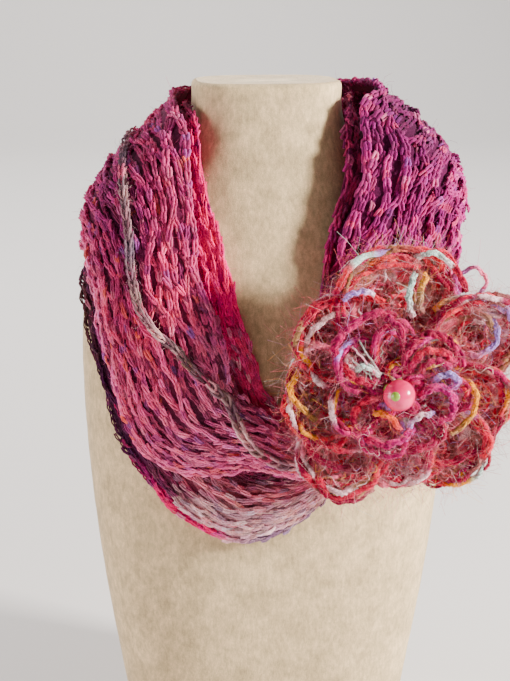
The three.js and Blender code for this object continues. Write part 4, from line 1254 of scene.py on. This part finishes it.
def beadDot(number, aim, radius, centre):
    # a low dome on the bead, with a flat lid inside it
    aim, sides, rings = unit(np.array(aim)), bead["dotSides"], bead["dotRings"]
    foot, rise = radius - bead["dotSunk"], bead["dotHeight"]
    side = unit(np.cross(aim, (0.3, 1, 0.2)))
    over = np.cross(aim, side)
    points = [aim * (foot + rise)]
    for step in range(1, rings + 1):
        bend = step / rings * bead["dotBend"]
        reach, high = bead["dotRadius"] * math.sin(bend), foot + rise * math.cos(bend)
        points += [side * reach * math.cos(a) + over * reach * math.sin(a) + aim * high
                   for a in np.linspace(0, 2 * math.pi, sides, endpoint=False)]
    last = 1 + (rings - 1) * sides
    faces = fanFaces(0, 1, sides) + ringFaces(rings, sides, 1, flipped=True)
    faces.append(tuple(reversed(range(last, last + sides))))
    return meshPiece("beadDot%d" % number, inFlower(np.array(points) + (0, 0, centre)), [], faces)


def makeBead():
    radius, centre, sides = bead["diameter"] / 2, bead["seat"] + bead["diameter"] / 2, bead["sides"]
    turns = np.linspace(0, 2 * math.pi, sides, endpoint=False)
    tilts = np.linspace(0, math.pi, bead["bands"] + 1)[1:-1]
    points = [(0, radius, centre), (0, -radius, centre)]
    for tilt in tilts:
        points.extend(np.stack([radius * np.sin(tilt) * np.cos(turns), np.full(sides, radius * np.cos(tilt)),
                                centre + radius * np.sin(tilt) * np.sin(turns)], 1))
    faces = ringFaces(len(tilts), sides, 2) + fanFaces(0, 2, sides, flipped=True)
    faces += fanFaces(1, 2 + (len(tilts) - 1) * sides, sides)
    ball = meshPiece("pink_bead", inFlower(points), [], faces)
    middle = Vector(inFlower([(0, 0, centre)])[0])
    if sum(face.normal.dot(face.center - middle) for face in ball.data.polygons) < 0:
        ball.data.flip_normals()
    dots = joinPieces("bead_dots", [beadDot(number, aim, radius, centre) for number, aim in enumerate(bead["dots"])])
    belong("bead_gloss", "bead", wear(ball, glossMaterial("beadGlaze", *bead["glaze"])))
    belong("bead_gloss", None, wear(dots, glossMaterial("greenDot", *bead["dotTones"])))


makeRosette()
makeBacking()
makeBead()
print("rosette, backing and bead made")

# the floor and the light

lookedAt = (0.01, -0.04, 0.29)
studio = dict(
    floorTone=(212, 208, 206), floorDrop=0.0005, halfWidth=9, flatTo=(-8, -2, 1, 3), bendRadius=1.6, wallTop=7.0,
    skyTone=(0.74, 0.87, 1.0, 1), skyStrength=0.07,
    lamps=[  # name, place, size, power, colour, where it points
        ("keyLight", (1.37, -0.64, 0.80), 0.2, 98, (1.0, 0.95, 0.88), lookedAt),
        ("fillLight", (-1.45, -0.30, 0.45), 0.8, 22, (1.0, 0.93, 0.92), lookedAt),
        ("rimLight", (-0.5, 1.0, 1.2), 0.9, 6, (1.0, 0.95, 0.95), lookedAt),
        ("wallLight", (0.0, 1.5, 2.8), 2.0, 210, (1.0, 0.98, 0.96), (0.0, 3.6, 0.2)),
    ],
)


def makeStudio():
    bend, end = studio["bendRadius"], studio["flatTo"][-1]
    back = [(y, 0.0) for y in studio["flatTo"]]
    back += [(end + bend * math.sin(a), bend - bend * math.cos(a)) for a in np.radians(np.linspace(9, 90, 10))]
    back += [(end + bend, studio["wallTop"])]
    points = [(x, y, z - studio["floorDrop"]) for y, z in back for x in (-studio["halfWidth"], studio["halfWidth"])]
    faces = [(2 * k, 2 * k + 1, 2 * k + 3, 2 * k + 2) for k in range(len(back) - 1)]
    paper = openMaterial("palePaper", {"Base Color": (*linear(studio["floorTone"]), 1), "Roughness": 0.95})[0]
    wear(meshPiece("studio_floor", points, [], faces), paper)
    world = bpy.data.worlds.new("softRoom")
    world.use_nodes = True
    sky = world.node_tree.nodes["Background"].inputs
    sky["Color"].default_value, sky["Strength"].default_value = studio["skyTone"], studio["skyStrength"]
    bpy.context.scene.world = world
    for name, spot, size, power, colour, target in studio["lamps"]:
        data = bpy.data.lights.new(name, "AREA")
        data.shape, data.size, data.energy, data.color = "SQUARE", size, power, colour
        aimAt(addObject(name, data), spot, target)


makeStudio()
print("floor and light placed")
